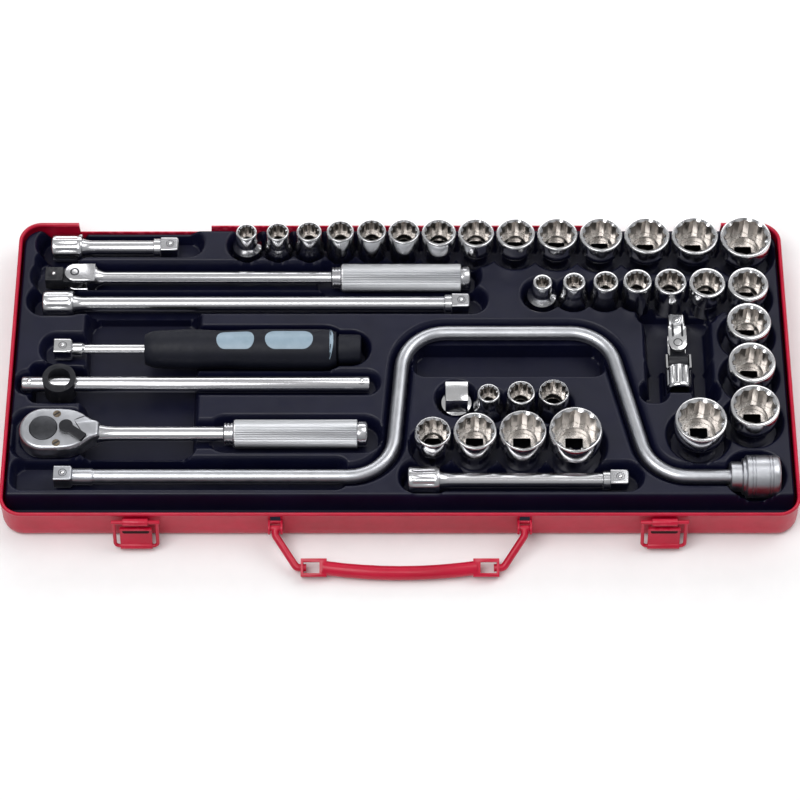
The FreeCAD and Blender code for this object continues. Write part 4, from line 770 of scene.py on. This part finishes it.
def make_ratchet():
    low, high = span("ratchet_body")
    across, axis = RATCHET_LINE
    head = low[0] + 14
    skin = Skin()
    edge = ratchet_outline
    skin.loft((head, across, 0), Z, X, [
        (14, inset(edge, 1.6), 2), (14.4, inset(edge, 0.7), 2), (15.4, edge, 2), (23.2, edge, 2),
        (24.4, inset(edge, 0.3), 2), (25.4, inset(edge, 0.9), 2), (25.85, inset(edge, 1.6), 2),
        (26, inset(edge, 2.3), 2), (26, circle(16.4), 2), (25.8, circle(15.95), 2), (14, circle(15.9), 2)],
        count=192, loop=True)
    skin.loft((head + 22, across, axis), X, Z, [
        (0, rounded(13.4, 12, 4)), (5, rounded(12.6, 11.6, 4.6)), (9, rounded(10.8, 10.2, 4.4)),
        (14, circle(9.2)), (19, circle(8.6)), (high[0] - GRIP_RUN - head - 22, circle(8.6))])
    add_grip(skin, (high[0] - GRIP_RUN, across, axis))
    skin.make("ratchet_finished", "ratchet", "chrome", [DRAWN, KNURL, SATIN], ["ratchet_body"])
    for word, along, side in (("back", -195.1, 9.7), ("front", -194.6, -10.5)):
        screw = Skin()
        screw.loft((along, across + side * 0.95, 25.5), Z, X, [
            (0, circle(4.6)), (0.5, circle(4.6)), (0.68, circle(4.2)), (0.7, circle(3.4))], count=32)
        screw.make(f"cover_screw_{word}", "ratchet", "chrome", [SCREW])
        slot = Skin()
        turned = (math.cos(math.radians(35)), math.sin(math.radians(35)), 0)
        slot.loft((along, across + side * 0.95, 25.9), Z, turned,
                  [(0, rounded(3.9, 0.9, 0.2)), (0.34, rounded(3.9, 0.9, 0.2))], count=48)
        slot.make(f"cover_screw_slot_{word}", "ratchet", "chrome", [DARK_STEEL])
    for side, start, end in ((1, (17.3, 5.2), (24.2, 8.2)), (-1, (17.3, 5.2), (22.6, -3.6))):
        add_seam(f"head_seam_{'back' if side > 0 else 'front'}", head, across, start, end)
    softened("ratchet_drive", DARK_STEEL, "black oxide", 0.3)
    softened("ratchet_lever", OXIDE, "black oxide", 0.7, 3)
    dot = Skin()
    dot.loft((high[0] - 92, across, axis + 4.25), Z, X, [(-0.5, circle(2)), (0.05, circle(2)),
                                                        (-0.2, circle(1.2))], count=24)
    dot.make("ratchet_gauge_dot", "ratchet", "chrome", [DARK_STEEL])


def make_brace():
    low, _ = span("brace_crank")
    _, high = span("brace_knob")
    across, axis = BRACE_LINE
    crank = Skin()
    route = bar_route()
    crank.rod([(x, y, axis) for x, y in route], 8.3, count=48)
    crank.loft((low[0] + TANG, across, axis), X, Z, steps([(11, 9.4, 9.4), (1.5, 8.6, 8.3)], 0.4))
    add_tang(crank, (low[0] + TANG, across, axis), along=(-1, 0, 0))
    crank.make("brace_finished", "speed_brace", "chrome", [SATIN], ["brace_crank"])
    detent("brace_detent", "speed_brace", low[0] + 5, across, axis + DRIVE / 2)
    knob = Skin()
    start = high[0] - 28
    rows = [(1.5, circle(9)), (0, circle(9.4)), (0, circle(15.8)), (0.5, circle(17)), (6.2, circle(17)),
            (6.6, circle(18.4)), (7, circle(20.5)), (8.3, circle(20.5)), (8.7, circle(23.4)),
            (9.3, circle(24.5))]
    for groove in (11.5, 13.2, 21.2, 22.9):
        rows += [(groove, circle(24.5)), (groove + 0.25, circle(23.7)), (groove + 0.55, circle(23.7)),
                 (groove + 0.8, circle(24.5))]
    rows += [(26.4, circle(24.5)), (27.2, circle(23.6)), (27.8, circle(22.2)), (28, circle(20.4)),
             (28, circle(12)), (27.4, circle(10.5))]
    knob.loft((start, across, axis), X, Z, rows)
    knob.make("brace_knob_finished", "brace_knob", "chrome", [SATIN], ["brace_knob"])


# ---------------------------------------------------------------- sockets

METRIC = [(8, 12.3), (9, 13.2), (10, 14.7), (11, 16), (12, 17), (13, 18.2), (14, 20), (15, 21),
          (16, 22.6), (17, 23.5), (18, 24.8), (19, 26.3), (20, 27), (22, 29.5)]
INCH = {"1_4": (6.35, 11.3), "5_16": (7.94, 13.3), "3_8": (9.53, 14.8), "7_16": (11.11, 16.8),
        "1_2": (12.7, 18.6), "9_16": (14.29, 21), "5_8": (15.88, 23.4), "11_16": (17.46, 25.5),
        "3_4": (19.05, 27), "13_16": (20.64, 28), "7_8": (22.23, 29.5)}
WHITWORTH = {"1_8": (8.64, 12.9), "3_16": (11.3, 15.9), "1_4": (13.34, 17.4), "5_16": (15.24, 20.3),
             "3_8": (18.03, 24.4), "7_16": (20.83, 26.6), "1_2": (23.37, 30)}


def make_socket(name, flats, outside):
    low, high = span(name)
    middle = (low + high) / 2
    height = high[2] - low[2]
    base = max(17, 0.8 * outside)
    skirt = 0.42 * height
    shoulder = height - skirt - 0.16 * height
    drive = 11.0
    ledge = drive + 4.5
    bore = min(0.8 * flats, flats - 1.6)
    corners = flats / math.cos(math.pi / 6)
    skin = Skin()
    skin.loft((middle[0], middle[1], low[2]), Z, X, [
        (0.8, square(9.7, 0.6), 2), (0, square(10.8, 1.2)), (0, circle(base - 2)), (0.3, circle(base - 0.8)),
        (0.9, circle(base)), (shoulder - 0.4, circle(base)),
        (shoulder + 0.3, circle(base * 0.98 + outside * 0.02)),
        (height - skirt - 0.5, circle(base * 0.08 + outside * 0.92)), (height - skirt + 0.6, circle(outside)),
        (height - 0.9, circle(outside)), (height - 0.35, circle(outside - 0.45)),
        (height - 0.08, circle(outside - 0.95)), (height, circle(outside - 1.3)),
        (height, circle(corners + 0.6)),
        (height - 0.9, star(flats), 1), (ledge + 0.2, star(flats), 3), (ledge, inset(star(flats), 0.15), 3),
        (ledge, circle(bore + 0.5), 3), (ledge - 0.4, circle(bore), 1), (drive + 0.3, circle(bore), 3),
        (drive, circle(bore - 0.4), 3), (drive, square(10.1, 0.8), 2), (drive - 0.5, square(9.7, 0.6), 2)],
        loop=True)
    skin.make(name + "_finished", name, "chrome", [CHROME, BROACHED, DARK_STEEL, LEDGE], [name], sharp=28)


def make_sockets():
    sizes = {f"socket_metric_{flats:02d}": (flats, outside) for flats, outside in METRIC}
    sizes.update({f"socket_inch_{word}": pair for word, pair in INCH.items()})
    sizes.update({f"socket_whitworth_{word}": pair for word, pair in WHITWORTH.items()})
    for name, (flats, outside) in sizes.items():
        make_socket(name, flats, outside)


# ---------------------------------------------------------------- universal joint

JOINT_DIA, YOKE_WIDTH, YOKE_HEIGHT, YOKE_EYE = 15.58, 10.8, 12.4, 6.0


def make_universal_joint():
    """The female end with its lands and grooves, the black block, and the grooved fork with its tang."""
    low, high = span("universal_fork")
    along, level = (low[0] + high[0]) / 2, (low[2] + high[2]) / 2
    lands = fluted(JOINT_DIA, 8, 1.5)
    barrel = Skin()
    barrel.loft((along, low[1], level), Y, Z, [
        (9, square(9.7, 0.5), 1), (0.7, square(9.7, 0.5), 1), (0, square(10.6, 1)), (0, circle(13.4)),
        (0.3, circle(14.6)), (1, circle(15.4)), (2.2, circle(15.4)), (3, lands), (13.4, lands),
        (14.2, circle(15)), (14.5, circle(13.6))])
    for side in (-1, 1):
        barrel.loft((along + side * 6.75, low[1] + 14, level), Y, X, [
            (0, rounded(1.7, 8, 0.5)), (9, rounded(1.7, 8, 0.5)), (9.7, rounded(1.5, 6.6, 0.5)),
            (10, rounded(1.1, 5, 0.4))], count=48)
    barrel.make("universal_female_end", "universal_joint", "chrome", [CHROME, DARK_STEEL], ["universal_fork"])
    softened("universal_block", OXIDE, "black oxide", 0.4)

    low, high = span("universal_tang")
    pin = low[1] + YOKE_WIDTH / 2
    root = high[1] - DRIVE
    yoke = Skin()
    for bottom, top in ((level - YOKE_HEIGHT / 2, level - 3.4), (level + 3.4, level + YOKE_HEIGHT / 2)):
        outline = stadium(root - pin, YOKE_WIDTH)
        yoke.loft((along, pin, 0), Z, Y, [(bottom, inset(outline, 0.7)), (bottom + 0.7, outline),
                                          (top - 0.7, outline), (top - 0.2, inset(outline, 0.25)),
                                          (top, inset(outline, 0.7))])
    yoke.loft((along, root, level), (0, -1, 0), Z, [
        (0, rounded(YOKE_HEIGHT - 2, YOKE_WIDTH - 1.4, 1.2)),
        (0.6, rounded(YOKE_HEIGHT - 0.6, YOKE_WIDTH, 1.2)),
        (root - pin - YOKE_EYE, rounded(YOKE_HEIGHT - 0.6, YOKE_WIDTH, 1.2))])
    add_tang(yoke, (along, high[1], level), along=(0, -1, 0))
    yoke.make("universal_yoke", "universal_tang", "chrome", [CHROME], ["universal_tang"])
    top = level + YOKE_HEIGHT / 2
    for side, word in ((-1, "left"), (1, "right")):
        groove = Skin()
        groove.loft((along + side * 2.7, (pin + root) / 2 + 2.4, top - 0.5), Z, Y, [
            (0, rounded(root - pin - 3.2, 1.3, 0.4)), (0.56, rounded(root - pin - 3.2, 1.3, 0.4))], count=48)
        groove.make(f"universal_groove_{word}", "universal_tang", "chrome", [OXIDE])
    end = Skin()
    end.loft((along, pin, top), Z, X, [(-0.5, circle(5.4)), (0.04, circle(5.4)), (0.08, circle(4.9)),
                                       (-0.15, circle(3.0))], count=40)
    end.make("universal_pin_end", "universal_tang", "black oxide", [DARK_STEEL])
    detent("universal_detent", "universal_tang", along, high[1] - 5, level + DRIVE / 2)


# ---------------------------------------------------------------- the rest of the CAD shapes

LATCH_X, LATCH_Y, LATCH_Z, LATCH_LEAN = 148, -102.6, 20.2, math.radians(19)


def make_latch_painted_shade():
    """Painted shade: a dark strip across each lever's plate where its slot lies in shade, and a dark plate on
    the wall for the shade between the lever and the knuckle.
    """
    down = np.array((0, -math.sin(LATCH_LEAN), -math.cos(LATCH_LEAN)))
    out = np.array((0, -math.cos(LATCH_LEAN), math.sin(LATCH_LEAN)))
    for side, word in ((-1, "left"), (1, "right")):
        hinge = np.array((side * LATCH_X, LATCH_Y, LATCH_Z))
        slot = Skin()
        slot.loft(hinge + down * 6.4 + out * 0.4, out, X, [
            (0, rounded(15, 2.6, 0.5)), (0.28, rounded(15, 2.6, 0.5))], count=64)
        slot.make(f"latch_slot_painted_shade_{word}", f"latch_lever_{word}", "red paint", [PAINTED_SHADE_RED])
        gap = Skin()
        gap.loft((side * LATCH_X, -100.85, LATCH_Z - 3.6), (0, -1, 0), X, [
            (0, rounded(13.6, 3.2, 0.4)), (0.15, rounded(13.6, 3.2, 0.4))], count=64)
        gap.make(f"latch_shadow_{word}", "case", "red paint", [PAINTED_SHADE_RED])


def make_small_parts():
    softened("drive_adaptor", CHROME, "chrome", 0.5)
    for node in ("handle_brackets", "handle_arms", "handle_grip", "latch_brackets", "latch_hoop_left",
                 "latch_hoop_right", "latch_lever_left", "latch_lever_right"):
        softened(node, ENAMEL, "red paint", 0.3)
    make_latch_painted_shade()
    low, high = span("drive_adaptor")
    middle = (low + high) / 2
    side = Skin()
    side.loft((middle[0], middle[1] - 6.3, 22), (0, -1, 0), Z, [(-0.4, circle(4.4)), (0.1, circle(4.2)),
                                                              (-0.2, circle(3.2))], count=32)
    side.make("adaptor_detent", "drive_adaptor", "chrome", [DARK_STEEL])


# ---------------------------------------------------------------- stage

def make_stage():
    floor = bpy.data.meshes.new("floor")
    floor.from_pydata([(-6, -6, 0), (6, -6, 0), (6, 6, 0), (-6, 6, 0)], [], [(0, 1, 2, 3)])
    paper = shade("floor_paper", (0.90, 0.90, 0.90), (0.88, 0.88, 0.88), (0.7, 0.8), bump=0.02)
    floor.materials.append(paper)
    stage = bpy.data.objects.new("floor", floor)
    stage.location.z = -0.0005
    bpy.context.scene.collection.objects.link(stage)

    world = bpy.data.worlds.new("studio")
    world.use_nodes = True
    bpy.context.scene.world = world
    nodes, links = world.node_tree.nodes, world.node_tree.links
    place = nodes.new("ShaderNodeTexCoord")
    split = nodes.new("ShaderNodeSeparateXYZ")
    links.new(place.outputs["Generated"], split.inputs["Vector"])
    ramp = nodes.new("ShaderNodeValToRGB")
    links.new(split.outputs["Z"], ramp.inputs["Fac"])
    stops = ramp.color_ramp.elements
    stops[0].position, stops[0].color = 0.0, (0.30, 0.31, 0.33, 1)
    stops[1].position, stops[1].color = 1.0, (1.0, 1.0, 1.0, 1)
    middle = stops.new(0.45)
    middle.color = (0.62, 0.63, 0.65, 1)
    links.new(ramp.outputs["Color"], nodes["Background"].inputs["Color"])
    nodes["Background"].inputs["Strength"].default_value = 0.56

    for name, where, size, power in (("key", (-0.5, -0.5, 1.5), (1.2, 0.8), 14),
                                     ("fill", (0.9, 0.3, 1.3), (0.8, 1.2), 8),
                                     ("rim", (0.0, 1.2, 0.8), (1.8, 0.5), 6)):
        light = bpy.data.lights.new(name, "AREA")
        light.shape = "RECTANGLE"
        light.size, light.size_y = size
        light.energy = power
        lamp = bpy.data.objects.new(name, light)
        lamp.location = where
        lamp.rotation_euler = (-Vector(where)).to_track_quat("-Z", "Y").to_euler()
        bpy.context.scene.collection.objects.link(lamp)


def make_camera():
    lens = bpy.data.cameras.new("camera")
    lens.lens, lens.sensor_width = 138.5, 36
    camera = bpy.data.objects.new("camera", lens)
    elevation, distance = math.radians(58), 1.758
    target = Vector((0, -0.0243, 0.024))
    camera.location = target + distance * Vector((0, -math.cos(elevation), math.sin(elevation)))
    camera.rotation_euler = (target - camera.location).to_track_quat("-Z", "Y").to_euler()
    bpy.context.scene.collection.objects.link(camera)
    bpy.context.scene.camera = camera
    bpy.context.scene.view_settings.view_transform = "Standard"


# ---------------------------------------------------------------- build

for node, shape in frame["nodes"].items():
    shape.data.materials.clear()
    plain = PLASTIC if node == "tool_tray" else ENAMEL if body_of(node) == "case" else CHROME
    shape.data.materials.append(plain)
make_stage()
make_camera()
make_case()
make_tray()
for bar_name in ("extension_bar_short", "extension_bar_medium", "extension_bar_long"):
    make_extension(bar_name)
make_flex_handle()
make_spinner()
make_sliding_tee()
make_ratchet()
make_brace()
make_sockets()
make_universal_joint()
make_small_parts()
